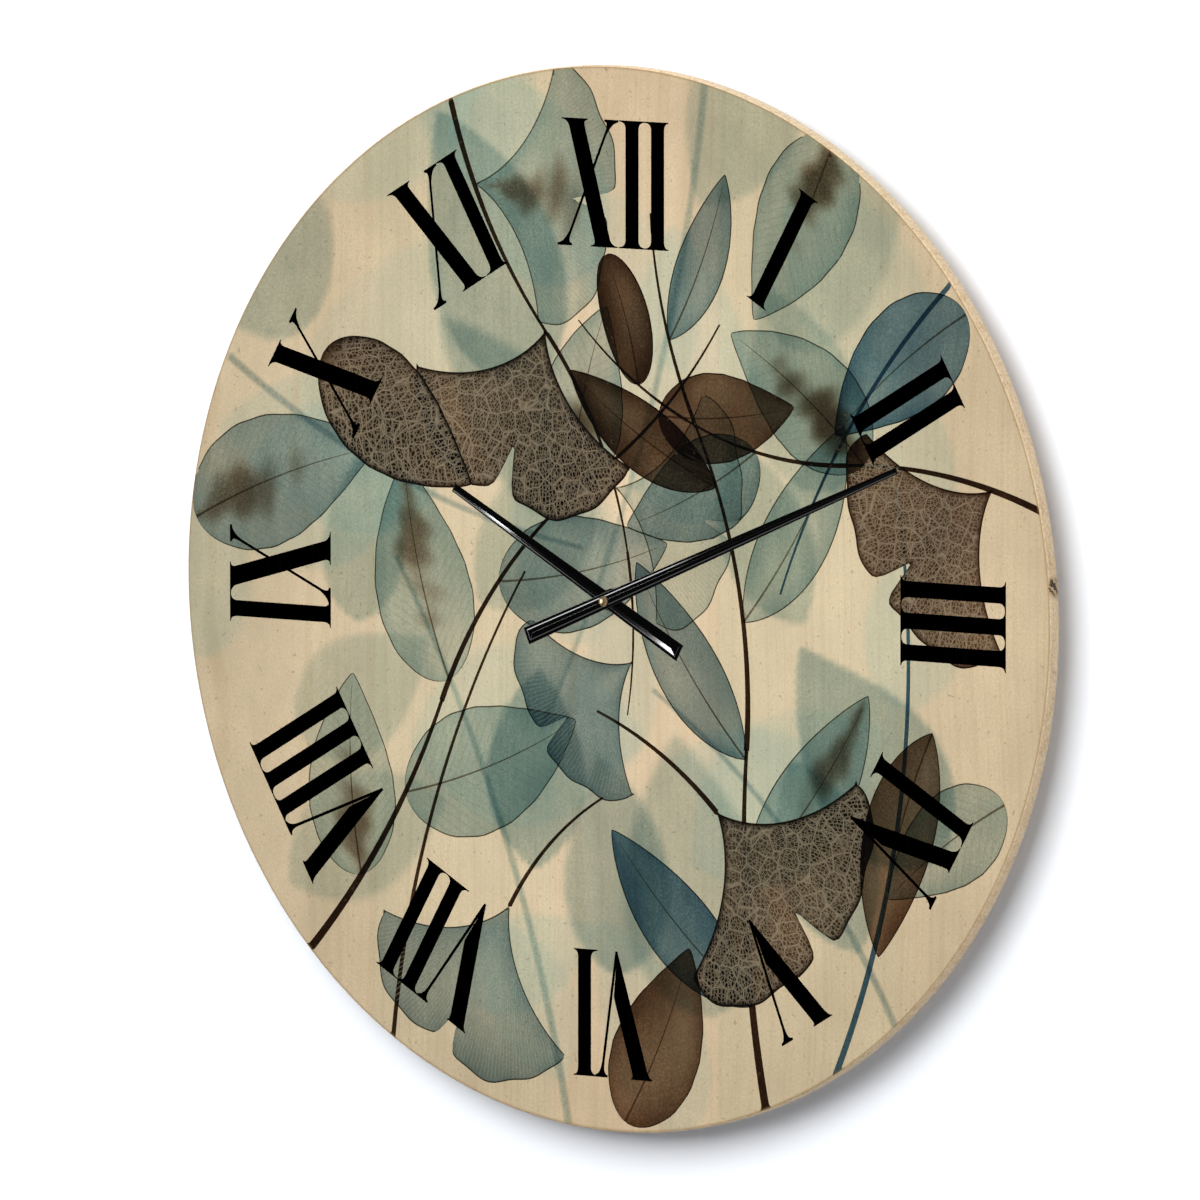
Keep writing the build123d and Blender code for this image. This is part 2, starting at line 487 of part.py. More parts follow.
# --- Going train: rotor to centre wheel, 1800 to 1 -----------------------------------------------
def make_train():
    centre = gear((0, 0), CENTRE_Z, CENTRE_MODULE, CENTRE_LEVEL, CENTRE_PHASE)
    centre -= rod((0, 0), MINUTE_ARBOR_R + FIT_GAP, CENTRE_LEVEL[0] - 1, CENTRE_LEVEL[1] + 1)
    save("centre_wheel", centre)

    back_pivot = BACK_INNER - PIVOT_LEN
    third = fused(
        gear(THIRD_XY, THIRD_Z, THIRD_MODULE, THIRD_LEVEL, THIRD_PHASE),
        gear(THIRD_XY, THIRD_PINION_Z, CENTRE_MODULE, THIRD_PINION_LEVEL, THIRD_PINION_PHASE),
        rod(THIRD_XY, ARBOR_R, BACK_INNER + 0.1, FRONT_INNER - 0.1),
        rod(THIRD_XY, PIVOT_R, back_pivot, FRONT_INNER + PIVOT_LEN),
    )
    save("third_wheel", third)

    second = fused(
        gear((0, 0), SECOND_Z, SECOND_MODULE, SECOND_LEVEL, SECOND_PHASE),
        gear((0, 0), SECOND_PINION_Z, THIRD_MODULE, SECOND_PINION_LEVEL, SECOND_PINION_PHASE),
        rod((0, 0), ARBOR_R, BACK_INNER + 0.1, SECOND_PINION_LEVEL[1]),
        rod((0, 0), PIVOT_R, back_pivot, PLATE_LEVEL[0] + PIVOT_LEN),
    )
    save("second_wheel", second)

    inter = fused(
        gear(INTER_XY, INTER_Z, ROTOR_MODULE, INTER_LEVEL, INTER_PHASE),
        gear(INTER_XY, INTER_PINION_Z, SECOND_MODULE, INTER_PINION_LEVEL, INTER_PINION_PHASE),
        rod(INTER_XY, ARBOR_R, BACK_INNER + 0.1, PLATE_LEVEL[0] - 0.1),
        rod(INTER_XY, PIVOT_R, back_pivot, PLATE_LEVEL[1]),
    )
    save("intermediate_wheel", inter)

    pinion = fused(
        gear(ROTOR_XY, ROTOR_PINION_Z, ROTOR_MODULE, ROTOR_PINION_LEVEL, ROTOR_PINION_PHASE),
        rod(ROTOR_XY, ARBOR_R, BACK_INNER + 0.1, PLATE_LEVEL[0] - 0.1),
        rod(ROTOR_XY, PIVOT_R, back_pivot, PLATE_LEVEL[1]),
    )
    save("rotor_pinion", pinion)
    magnet = rod(ROTOR_XY, MAGNET_R, *MAGNET_LEVEL)
    save("rotor_magnet", magnet - rod(ROTOR_XY, ARBOR_R + FIT_GAP, MAGNET_LEVEL[0] - 1,
                                      MAGNET_LEVEL[1] + 1))


# --- Stepping motor, circuit board, contacts and battery ------------------------------------------
def make_motor():
    arm, right, top = STATOR_ARM, STATOR_EDGE_X, STATOR_TOP
    x, y = ROTOR_XY
    stator = fused(
        rod(ROTOR_XY, STATOR_RING_R, *STATOR_LEVEL),
        block((x, right), (y - arm / 2, y + arm / 2), STATOR_LEVEL),
        block((x - arm / 2, x + arm / 2), (y, top + arm), STATOR_LEVEL),
        block((x - arm / 2, right), (top, top + arm), STATOR_LEVEL),
    )
    save("stator", stator - rod(ROTOR_XY, STATOR_HOLE_R, STATOR_LEVEL[0] - 1,
                                STATOR_LEVEL[1] + 1))

    bar = (COIL_X - CORE_W / 2, COIL_X + CORE_W / 2)
    core = fused(
        block(bar, (y - arm / 2, top + arm), CORE_LEVEL),
        block(bar, (y - arm / 2, y + arm / 2), (STATOR_LEVEL[1], CORE_LEVEL[1])),
        block(bar, (top, top + arm), (STATOR_LEVEL[1], CORE_LEVEL[1])),
    )
    save("coil_core", core)

    mid_z = (CORE_LEVEL[0] + CORE_LEVEL[1]) / 2
    along_y = Pos(COIL_X, 0, mid_z) * Rot(-90, 0, 0)
    spool_r = 1.6

    def turned(radius, low, high):
        return along_y * (Pos(0, 0, (low + high) / 2) * Cylinder(radius, high - low))

    slot = block((bar[0] - FIT_GAP, bar[1] + FIT_GAP), (COIL_LOW - 1, COIL_HIGH + 1),
                 (CORE_LEVEL[0] - FIT_GAP, CORE_LEVEL[1] + FIT_GAP))
    side = (COIL_X - BOBBIN_HALF, COIL_X + BOBBIN_HALF)
    depth = (mid_z - BOBBIN_HALF, mid_z + BOBBIN_HALF)
    bobbin = fused(
        turned(spool_r, COIL_LOW, COIL_HIGH),
        block(side, (COIL_LOW, COIL_LOW + BOBBIN_FLANGE_T), depth),
        block(side, (COIL_HIGH - BOBBIN_FLANGE_T, COIL_HIGH), depth),
    )
    save("coil_bobbin", bobbin - slot)
    wind = (COIL_LOW + BOBBIN_FLANGE_T, COIL_HIGH - BOBBIN_FLANGE_T)
    save("coil_winding", turned(COIL_R, *wind) - turned(spool_r + FIT_GAP, wind[0] - 1,
                                                        wind[1] + 1))


def make_electrics():
    edge = INNER_HALF - 0.8
    board = block((-edge, edge), (BOARD_LOW_Y, BOARD_HIGH_Y), PCB_LEVEL)
    save("circuit_board", board)
    chip_r = 3.2
    chip = Pos(chip_r, BOARD_MID_Y, PCB_LEVEL[1] - 2.2) * Sphere(chip_r)
    above = block((0, 2 * chip_r), (BOARD_MID_Y - chip_r, BOARD_MID_Y + chip_r),
                  (PCB_LEVEL[1], PCB_LEVEL[1] + chip_r))
    save("chip_cover", chip & above)
    can = Pos(-9.0, BOARD_MID_Y, PCB_LEVEL[1] + 1.0) * Rot(0, 90, 0) * Cylinder(1.0, 6.0)
    save("quartz_crystal", can)

    left_x = -INNER_HALF + CONTACT_GAP + CONTACT_T + FIT_GAP + BATTERY_NUB_H
    body_x = (left_x, left_x + BATTERY_LEN)
    lie = Pos(0, BATTERY_Y, BATTERY_Z) * Rot(0, 90, 0)
    cell = Pos(0, 0, sum(body_x) / 2) * Cylinder(BATTERY_R, BATTERY_LEN)
    cell = fillet(cell.edges().filter_by(GeomType.CIRCLE), 0.5)
    nub = Pos(0, 0, body_x[0] - BATTERY_NUB_H / 2) * Cylinder(BATTERY_NUB_R, BATTERY_NUB_H)
    save("battery", lie * (cell + nub))

    # Each strip stands beside its end of the battery, runs up the case wall and bends over the
    # circuit board's end.
    strip_z = (BACK_INNER + 1.0, BACK_INNER + 6.6)
    finger_z = (PCB_LEVEL[1] + 0.02, PCB_LEVEL[1] + 0.02 + CONTACT_T)
    for name, side in (("contact_plus", -1), ("contact_minus", 1)):
        outer_x = INNER_HALF - CONTACT_GAP
        wall = sorted((side * (outer_x - CONTACT_T), side * outer_x))
        reach = sorted((side * (outer_x - 2.9), side * outer_x))
        strip = fused(
            block(wall, (BATTERY_Y - 4.0, BOARD_MID_Y + 1.0), strip_z),
            block(wall, (BATTERY_Y - 4.0, BATTERY_Y + 4.0), (BATTERY_Z - 4.0, BATTERY_Z + 4.0)),
            block(reach, (BOARD_MID_Y - 1.5, BOARD_MID_Y + 1.0), finger_z),
        )
        if side > 0:
            tip_x = body_x[1] + FIT_GAP
            root_x = outer_x - CONTACT_T / 2
            bow = Polyline(
                (root_x, BATTERY_Y - 3.6), (tip_x, BATTERY_Y - 0.6), (tip_x, BATTERY_Y + 0.6),
                (root_x, BATTERY_Y + 3.6), (root_x, BATTERY_Y + 3.2),
                (tip_x + CONTACT_T, BATTERY_Y + 0.4), (tip_x + CONTACT_T, BATTERY_Y - 0.4),
                (root_x, BATTERY_Y - 3.2), close=True,
            )
            spring = extrude(make_face(bow), amount=5.0)
            strip += Pos(0, 0, BATTERY_Z - 2.5) * spring
        save(name, strip)


os.makedirs("parts", exist_ok=True)
make_boards()
make_hands()
make_front_case()
make_middle_plate()
make_rear_cover()
make_fixings()
make_motion_work()
make_train()
make_motor()
make_electrics()
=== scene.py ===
import math
from types import SimpleNamespace

import bmesh
import bpy
import numpy as np
from mathutils import Matrix, Vector
from mathutils.geometry import delaunay_2d_cdt


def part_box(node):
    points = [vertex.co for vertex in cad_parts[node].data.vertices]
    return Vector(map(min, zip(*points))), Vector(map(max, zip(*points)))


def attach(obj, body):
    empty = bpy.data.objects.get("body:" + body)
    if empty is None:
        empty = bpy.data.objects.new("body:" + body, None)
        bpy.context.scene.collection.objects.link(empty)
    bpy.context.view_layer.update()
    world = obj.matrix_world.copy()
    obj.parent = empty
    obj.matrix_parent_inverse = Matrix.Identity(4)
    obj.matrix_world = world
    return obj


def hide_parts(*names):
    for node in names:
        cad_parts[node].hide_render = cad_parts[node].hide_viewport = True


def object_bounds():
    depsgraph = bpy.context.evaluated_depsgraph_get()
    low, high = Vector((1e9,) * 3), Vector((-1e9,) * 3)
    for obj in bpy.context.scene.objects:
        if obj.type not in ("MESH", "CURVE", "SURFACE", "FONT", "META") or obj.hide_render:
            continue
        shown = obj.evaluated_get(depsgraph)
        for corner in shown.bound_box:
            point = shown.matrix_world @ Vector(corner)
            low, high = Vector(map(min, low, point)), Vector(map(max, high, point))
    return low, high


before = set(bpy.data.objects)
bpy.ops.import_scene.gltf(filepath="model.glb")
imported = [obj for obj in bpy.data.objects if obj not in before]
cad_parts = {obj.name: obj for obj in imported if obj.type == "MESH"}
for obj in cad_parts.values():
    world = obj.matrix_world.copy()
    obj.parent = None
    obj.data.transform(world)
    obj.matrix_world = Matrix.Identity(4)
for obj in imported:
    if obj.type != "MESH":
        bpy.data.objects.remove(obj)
cad_low, cad_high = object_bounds()

# ---- Pine boards ----
# The disc: five flat-sawn pine boards, glued edge to edge, sawn round and sanded. The back and
# the rim are bare wood; the rim is cut along the grain at the sides and across it at the top
# and bottom, so it shows long fibres, end grain and a knot cut through at the right.
BOARDS = [f"pine_board_{number}" for number in range(1, 6)]
GLUE_JOINTS_MM = (-166, -41, 69, 190)
BOARD_TONES = (0.35, 0.8, 0.15, 0.95, 0.5)
PITH_DEPTH = 0.09
disc_low = [min(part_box(name)[0][axis] for name in BOARDS) for axis in range(3)]
disc_high = [max(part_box(name)[1][axis] for name in BOARDS) for axis in range(3)]
disc_radius = (disc_high[0] - disc_low[0]) / 2
disc_centre_z = (disc_high[2] + disc_low[2]) / 2
face_y = disc_low[1]


def linear(code):
    """Scene-linear colour of an sRGB hex value."""
    parts = [int(code[start:start + 2], 16) / 255 for start in (1, 3, 5)]
    return [p / 12.92 if p <= 0.04045 else ((p + 0.055) / 1.055) ** 2.4 for p in parts] + [1.0]


def add(tree, kind, *inputs, **named):
    """Add a node: its first inputs in order, then settings (small letters) and named inputs
    (capitals). An input is a value, a socket or a whole node."""
    node = tree.nodes.new(kind if "Node" in kind else "ShaderNode" + kind)
    for name, value in named.items():
        if name == "stops":
            elements = node.color_ramp.elements
            while len(elements) < len(value):
                elements.new(0.5)
            for element, (position, colour) in zip(elements, value):
                element.position = position
                element.color = colour if isinstance(colour, list) else [colour] * 3 + [1.0]
        elif name == "interpolation":
            node.color_ramp.interpolation = value
        elif name[0].islower():
            setattr(node, name, value)
    live = [socket for socket in node.inputs if socket.enabled]
    pairs = list(zip(live, inputs))
    pairs += [(next(socket for socket in live if socket.name == name.replace("_", " ")), value)
              for name, value in named.items() if name[0].isupper()]
    for socket, value in pairs:
        if isinstance(value, bpy.types.Node):
            value = next(output for output in value.outputs if output.enabled)
        if isinstance(value, bpy.types.NodeSocket):
            tree.links.new(value, socket)
        else:
            socket.default_value = value
    return node


def new_material(name):
    """An empty material, its node tree and the place on the piece, in object coordinates."""
    made = bpy.data.materials.new(name)
    made.use_nodes = True
    made.node_tree.nodes.clear()
    return made, made.node_tree, add(made.node_tree, "TexCoord").outputs["Object"]


def axis_distance(tree, place):
    """Distance from the disc's axis."""
    flat = add(tree, "VectorMath", place, (1.0, 0.0, 1.0), (0.0, 0.0, -disc_centre_z),
        operation="MULTIPLY_ADD")
    return add(tree, "VectorMath", flat, operation="LENGTH").outputs["Value"]


def pine_grain(tree, place, early, late, contrast):
    """Colour and height of the glued boards: growth rings about a pith behind each board."""
    parts = add(tree, "SeparateXYZ", place)
    share = add(tree, "MapRange", Value=parts.outputs["X"], From_Min=-disc_radius,
        From_Max=disc_radius)
    starts = [0.0] + [0.5 + joint / 2000 / disc_radius for joint in GLUE_JOINTS_MM]
    board = add(tree, "ValToRGB", share, stops=list(zip(starts, BOARD_TONES)),
        interpolation="CONSTANT")
    # Each board's pith lies behind its face and off to one side, and snakes up the board.
    snake = add(tree, "TexNoise", Vector=add(tree, "Mapping", Vector=place, Scale=(3.0, 3.0, 1.0)),
        Scale=5.0, Detail=2.0)
    pith = add(tree, "CombineXYZ",
        add(tree, "Math", board, 0.7, parts.outputs["X"], operation="MULTIPLY_ADD"),
        add(tree, "Math", parts.outputs["Y"], -PITH_DEPTH, operation="ADD"))
    depth = add(tree, "Math", snake, 0.02,
        add(tree, "VectorMath", pith, operation="LENGTH").outputs["Value"],
        operation="MULTIPLY_ADD")
    # Rings about 3.5 mm apart, uneven as in a grown tree; fibres 1 mm wide and 50 times longer.
    rings = add(tree, "TexNoise", noise_dimensions="1D", W=depth, Scale=285.0, Detail=2.0,
        Roughness=0.6)
    ring = add(tree, "MapRange", interpolation_type="SMOOTHSTEP", Value=rings, From_Min=0.42,
        From_Max=0.68)
    fibres = add(tree, "TexNoise",
        Vector=add(tree, "Mapping", Vector=place, Scale=(1.0, 1.0, 0.02)), Scale=1000.0, Detail=4.0,
        Roughness=0.6)
    clouds = add(tree, "TexNoise",
        Vector=add(tree, "Mapping", Vector=place, Scale=(1.0, 1.0, 0.25)), Scale=22.0, Detail=3.0)
    strength = add(tree, "Math", add(tree, "Math", ring, fibres, operation="ADD"), contrast,
        operation="MULTIPLY")
    wood = add(tree, "Mix", strength, early, late, data_type="RGBA")
    shade = add(tree, "ValToRGB", clouds, stops=[(0.3, 0.93), (0.7, 1.05)])
    tint = add(tree, "Mix", board, linear("#fff6ef"), linear("#f5f5ee"), data_type="RGBA")
    for layer in (shade, tint):
        wood = add(tree, "Mix", 0.8, wood, layer, data_type="RGBA", blend_type="MULTIPLY")
    return wood, add(tree, "Math", fibres, ring, operation="ADD")


# Bare sanded pine: pale straw early wood and amber late wood, dull, with open fibres, resin
# specks half a millimetre wide, and dark cracked knots where the saw met them.
pine, tree, place = new_material("sanded_pine")
wood, height = pine_grain(tree, place, linear("#e2cba8"), linear("#c6a578"), 0.42)
specks = add(tree, "TexNoise", Vector=place, Scale=900.0, Detail=3.0, Roughness=0.7)
speck = add(tree, "MapRange", Value=specks, From_Min=0.55, From_Max=0.72, To_Max=0.55)
wood = add(tree, "Mix", speck, wood, linear("#7d6244"), data_type="RGBA")
# The rim is as the saw left it: torn pale fibres and dark pits under a millimetre wide.
SAWN_FROM, SAWN_FULL = 0.0007, 0.0003
sawn = add(tree, "MapRange", Value=axis_distance(tree, place),
    From_Min=disc_radius - SAWN_FROM, From_Max=disc_radius - SAWN_FULL)
torn = add(tree, "TexNoise", Vector=place, Scale=620.0, Detail=5.0, Roughness=0.75)
fuzz = add(tree, "MapRange", Value=torn, From_Min=0.42, From_Max=0.6, To_Max=0.75)
pit = add(tree, "MapRange", Value=torn, From_Min=0.38, From_Max=0.3, To_Max=0.8)
chipped = add(tree, "TexNoise", Vector=place, Scale=240.0, Detail=4.0, Roughness=0.7)
chip = add(tree, "MapRange", Value=chipped, From_Min=0.67, From_Max=0.71, To_Max=0.8)
for amount, shade in ((fuzz, "#efd8b6"), (pit, "#94774f"), (chip, "#654a2f")):
    wood = add(tree, "Mix", add(tree, "Math", amount, sawn, operation="MULTIPLY"), wood,
        linear(shade), data_type="RGBA")
wave = add(tree, "TexWave", wave_type="BANDS", bands_direction="DIAGONAL", Vector=place,
    Scale=120.0, Distortion=7.0, Detail=3.0, Detail_Scale=2.0)
crack = add(tree, "MapRange", Value=wave, From_Min=0.25, From_Max=0.5)
# Knots: place in x and z from the disc's centre, and half height, in millimetres.
KNOTS_MM = ((291, 23, 6.0), (289, -22, 2.2), (-120, 90, 7.0), (45, -170, 9.0), (140, 60, 6.0),
            (-230, -60, 5.0))
for knot_x, knot_z, knot_size in KNOTS_MM:
    centre = (knot_x / 1000, (disc_low[1] + disc_high[1]) / 2, disc_centre_z + knot_z / 1000)
    ball = add(tree, "VectorMath", place, centre, operation="DISTANCE")
    ragged = add(tree, "Math", specks, 0.004, ball.outputs["Value"], operation="MULTIPLY_ADD")
    knot = add(tree, "MapRange", interpolation_type="SMOOTHSTEP", Value=ragged,
        From_Min=knot_size / 1000 + 0.0035, From_Max=knot_size / 1000 - 0.0005)
    dark = add(tree, "Mix", crack, linear("#3f2c1c"), linear("#b99d76"), data_type="RGBA")
    wood = add(tree, "Mix", knot, wood, dark, data_type="RGBA")
bump = add(tree, "Bump", Strength=0.3, Distance=0.0003, Height=height)
add(tree, "OutputMaterial", Surface=add(tree, "BsdfPrincipled", Base_Color=wood, Roughness=0.62,
    Specular_IOR_Level=0.35, Normal=bump))


def dress(names, finish):
    """Give CAD nodes their material."""
    for name in names:
        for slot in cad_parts[name].material_slots:
            slot.material = finish


dress(BOARDS, pine)

# ---- Printed picture ----
# The face: inks printed straight on the whitewashed pine, thin enough for the grain to show.
# Translucent leaves, seen as if against the light, lie over one another and darken where they
# cross; pale ones behind them are out of focus. Each leaf is a shape bent along an arc.
rng = np.random.default_rng(23)
# The picture stops a little short of the rim, in millimetres like all that is drawn below.
RIM_MARGIN = 0.65
FACE_RADIUS = disc_radius * 1000 - RIM_MARGIN
GROUND = "#d9c9ab"
# Each ink is named with the colour that one layer of it gives on the ground.
INKS = {
    "mist": "#c6c3aa", "sage": "#aaab94", "teal": "#939b89", "slate": "#6d7970",
    "navy": "#365059", "brown": "#4a321f", "umber": "#241408",
}
absorption = {
    name: -np.log(np.array(linear(code)[:3]) / np.array(linear(GROUND)[:3]))
    for name, code in INKS.items()
}
printed = []


def lay(form, x, y, heading, length, width, bend, ink, depth=1.0, soft=0.0, veins=0.3, net=0.0,
        fade=0.0, stain=None):
    """Add one shape: base point and sizes in mm, heading and bend in degrees. Depth is how many
    layers of ink, soft its blur in mm, veins and net the strength of its lines (pale below zero),
    fade its gain in ink from base to tip, and stain an ink with its place and reach."""
    bend = bend if abs(bend) > 1 else 1.0
    printed.append(SimpleNamespace(
        form=form, x=x, y=y, heading=math.radians(heading), length=length, width=width,
        curve=math.radians(bend) / length, ink=ink, depth=depth, soft=soft, veins=veins, net=net,
        fade=fade, stain=stain))


def half_width(shape, share):
    """Half the width of a leaf or stem at a share of its length."""
    share = np.clip(share, 0.0, 1.0)
    if shape.form == "lance":
        profile = (4 * share * (1 - share)) ** 0.85 * (1.15 - 0.3 * share)
    elif shape.form == "oval":
        profile = np.sin(np.pi * share**0.74) ** 0.72 * (1 - 0.25 * share**5)
        profile = profile * (1 + 0.008 * np.sin(2 * np.pi * 6.5 * share))
    elif shape.form == "pod":
        profile = (4 * share * (1 - share)) ** 0.5
    else:
        profile = 1 - 0.55 * share
    return shape.width / 2 * profile


def fan_reach(shape, angle):
    """Radius of a fan leaf's wavy front edge, with its notch and its rounded corners."""
    wave = 0.02 * np.sin(8 * angle + shape.x) + 0.008 * np.sin(21 * angle)
    notch = 0.26 * np.exp(-((angle / 0.05) ** 2)) + 0.05 * np.exp(-((angle / 0.25) ** 2))
    corner = 0.16 * np.abs(angle / math.radians(shape.width) * 2) ** 7
    return shape.length * (1 + wave - notch - corner)


def fan_half_angle(shape, share):
    """Half the angle of a fan leaf at a share of its length."""
    return math.radians(shape.width) / 2 * (0.36 + 0.64 * np.clip(share, 0, 1) ** 0.8)


def on_arc(shape, along, across):
    """Dial position of a point along and across a bent leaf."""
    turn, curve = shape.heading + shape.curve * along, shape.curve
    x = shape.x + (np.sin(turn) - np.sin(shape.heading)) / curve - across * np.sin(turn)
    y = shape.y + (np.cos(shape.heading) - np.cos(turn)) / curve + across * np.cos(turn)
    return x, y


def leaf_place(shape, x, y):
    """Where dial points lie in a leaf: along, across, share of its half width, edge distance."""
    if shape.form == "fan":
        dx, dy = x - shape.x, y - shape.y
        radius = np.hypot(dx, dy)
        angle = (np.arctan2(dy, dx) - shape.heading + np.pi) % (2 * np.pi) - np.pi
        share = radius / shape.length
        side = angle / fan_half_angle(shape, share)
        reach = fan_reach(shape, angle)
        edge = np.minimum((1 - np.abs(side)) * fan_half_angle(shape, share) * radius,
                          reach - radius)
        return radius, angle, side, edge
    curve = shape.curve
    centre_x = shape.x - np.sin(shape.heading) / curve
    centre_y = shape.y + np.cos(shape.heading) / curve
    dx, dy = (x - centre_x) * np.sign(curve), (y - centre_y) * np.sign(curve)
    turn = np.arctan2(dx, -dy) - shape.heading
    turn = (turn + np.pi) % (2 * np.pi) - np.pi
    along = turn / curve
    across = 1 / curve - np.sign(curve) * np.hypot(dx, dy)
    share = along / shape.length
    half = half_width(shape, share)
    beyond = np.maximum(0, np.maximum(-along, along - shape.length))
    edge = half - np.abs(across) - beyond
    return along, across, across / np.maximum(half, 0.2), edge


def fan_corner(shape, side):
    """Angle at which a fan leaf's front edge meets its left (1) or right (-1) side."""
    angle = side * fan_half_angle(shape, 1.0)
    for _ in range(20):
        angle = side * fan_half_angle(shape, fan_reach(shape, angle) / shape.length)
    return angle


def outline(shape, inset):
    """Closed line round a shape, drawn in by the inset."""
    if shape.form == "fan":
        corners = [fan_corner(shape, side) for side in (-1, 1)]
        front = np.linspace(*corners, 90)[1:-1]
        reach = fan_reach(shape, front) - inset
        front = front[np.abs(front) < fan_half_angle(shape, 0.9) - inset / reach]
        angles, radii = [front], [fan_reach(shape, front) - inset]
        for side in (1, -1):
            radius = np.linspace(0.985, 0.02, 26) * fan_reach(shape, corners[side > 0])
            swing = fan_half_angle(shape, radius / shape.length) - inset / radius
            kept = swing > 0
            angles.append((side * swing[kept])[::side])
            radii.append(radius[kept][::side])
        turn = np.concatenate(angles) + shape.heading
        radius = np.concatenate(radii)
        return shape.x + radius * np.cos(turn), shape.y + radius * np.sin(turn)
    steps = max(10, int(shape.length / 3.0))
    shares = 0.5 - 0.5 * np.cos(np.pi * np.linspace(0, 1, steps + 1))
    if shape.form == "stem":
        shares = np.linspace(0, 1, steps + 1)
    half = half_width(shape, shares)
    kept = half > max(inset, 0.05)
    if kept.sum() < 3:
        return np.array([]), np.array([])
    along, half = (shares * shape.length)[kept], half[kept] - inset
    left = on_arc(shape, along, half)
    right = on_arc(shape, along[::-1], -half[::-1])
    return np.concatenate([left[0], right[0]]), np.concatenate([left[1], right[1]])


def sprig(x, y, heading, lengths, bends, width, stem_ink, leaves):
    """A twig of arcs in a row, with leaves set on it left and right in turn. A leaf is its
    place as a share of the twig, form, length, width (of a fan, its angle), ink and details."""
    side, total, covered = 1, sum(lengths), 0.0
    for length, bend in zip(lengths, bends):
        lay("stem", x, y, heading, length, width, bend, stem_ink, 1.0)
        arc = printed[-1]
        for start, form, size, leaf_width, ink, *details in leaves:
            along = start * total - covered
            if 0 <= along < length:
                detail = dict(*details)
                aim = heading + bend * along / length + side * detail.pop("lean", 48)
                lay(form, *on_arc(arc, along, 0.0), aim, size, leaf_width, -side * 18, ink,
                    **detail)
                side = -side
        covered += length
        x, y = on_arc(arc, length, 0.0)
        heading += bend
        width *= 0.7


# Out-of-focus leaves behind, spread evenly by the golden angle; a few places stay clear.
PALE_LEAVES, CLEAR, GOLDEN_ANGLE = 44, (5, 12, 19, 33), 137.5
for number in range(PALE_LEAVES):
    if number in CLEAR:
        continue
    turn = math.radians(GOLDEN_ANGLE * number + 20)
    reach = 300 * math.sqrt((number + 0.6) / PALE_LEAVES)
    size = rng.uniform(100, 165)
    lay(("oval", "lance")[number % 3 == 1], reach * math.cos(turn) - size / 3,
        reach * math.sin(turn) - size / 4, rng.uniform(10, 170), size,
        size * rng.uniform(0.45, 0.66), rng.uniform(-30, 30),
        ("mist", "sage", "mist", "teal")[number % 4], rng.uniform(0.6, 1.0),
        soft=rng.uniform(3, 11))

# Twigs behind, half in focus.
lay("stem", -30, -291, 100, 330, 4.4, 22, "teal", 0.9, soft=3)
lay("stem", 62, 288, -96, 380, 4.0, -22, "teal", 0.8, soft=3.4)
lay("stem", -262, 120, -34, 260, 3.6, 26, "slate", 0.6, soft=3)
lay("stem", 190, -222, 118, 240, 3.6, 30, "slate", 0.6, soft=3)

# Sprigs in focus. Skeleton leaves have pale veins and a net of ribs between them.
SKELETON = dict(veins=-0.4, net=0.5)
sprig(-214, -212, 46, (180, 170, 120), (22, -34, 24), 5.0, "umber", [
    (0.14, "oval", 112, 60, "sage", dict(stain=("brown", 0.2, 0.3))),
    (0.26, "oval", 126, 70, "teal"),
    (0.41, "oval", 124, 66, "teal", dict(fade=0.6, stain=("brown", 0.7, 0.3))),
    (0.55, "oval", 118, 64, "slate", dict(depth=0.8)),
    (0.70, "oval", 108, 58, "teal", dict(stain=("umber", 0.25, 0.25))),
    (0.86, "oval", 92, 50, "brown"),
])
sprig(104, -276, 102, (200, 180, 120), (-16, 30, -22), 5.4, "umber", [
    (0.12, "lance", 132, 44, "navy", dict(veins=0.2, depth=0.8)),
    (0.25, "lance", 138, 48, "teal", dict(stain=("brown", 0.75, 0.3))),
    (0.39, "lance", 128, 42, "slate"),
    (0.54, "lance", 130, 44, "teal", dict(fade=0.6)),
    (0.69, "lance", 116, 38, "umber", dict(veins=0.2, depth=0.8)),
    (0.86, "lance", 100, 32, "slate"),
])
sprig(-112, 276, -76, (150, 130, 90), (26, -30, -20), 4.0, "umber", [
    (0.15, "fan", 98, 118, "teal", dict(veins=0.4, lean=62, stain=("brown", 0.35, 0.3))),
    (0.40, "fan", 102, 120, "umber", dict(SKELETON, lean=58, depth=1.05)),
    (0.66, "fan", 88, 118, "sage", dict(veins=0.4, lean=58)),
    (0.92, "fan", 80, 112, "slate", dict(veins=-0.2, lean=50)),
])
sprig(285, 64, 160, (130, 110, 90), (24, -28, -22), 4.0, "umber", [
    (0.10, "fan", 98, 118, "brown", dict(SKELETON, lean=52, depth=1.25)),
    (0.36, "oval", 112, 62, "teal", dict(stain=("umber", 0.3, 0.3))),
    (0.58, "oval", 98, 54, "slate"),
    (0.84, "pod", 74, 32, "umber", dict(veins=0.2, depth=0.85)),
])
lay("fan", 70, -112, -44, 106, 120, 0, "umber", 1.05, **SKELETON)
lay("stem", 70, -112, 136, 96, 3.4, 24, "umber")
lay("fan", -70, -172, -120, 98, 116, 0, "slate", 0.9, veins=-0.3)
lay("stem", -70, -172, 60, 90, 2.8, -30, "umber")
lay("oval", -286, 30, 28, 132, 72, -16, "slate", 0.8, stain=("brown", 0.2, 0.3))
lay("oval", -196, 128, -42, 122, 66, 14, "umber", 1.0, **SKELETON)
lay("oval", 150, 262, -112, 118, 64, -12, "teal", 1.0, stain=("umber", 0.2, 0.25))
lay("oval", 236, 168, -150, 112, 60, 18, "navy", 0.75, veins=0.2)
lay("lance", 214, -60, -116, 130, 46, 20, "brown", 0.8)
lay("oval", 8, -286, 58, 108, 58, 16, "brown", 0.9)
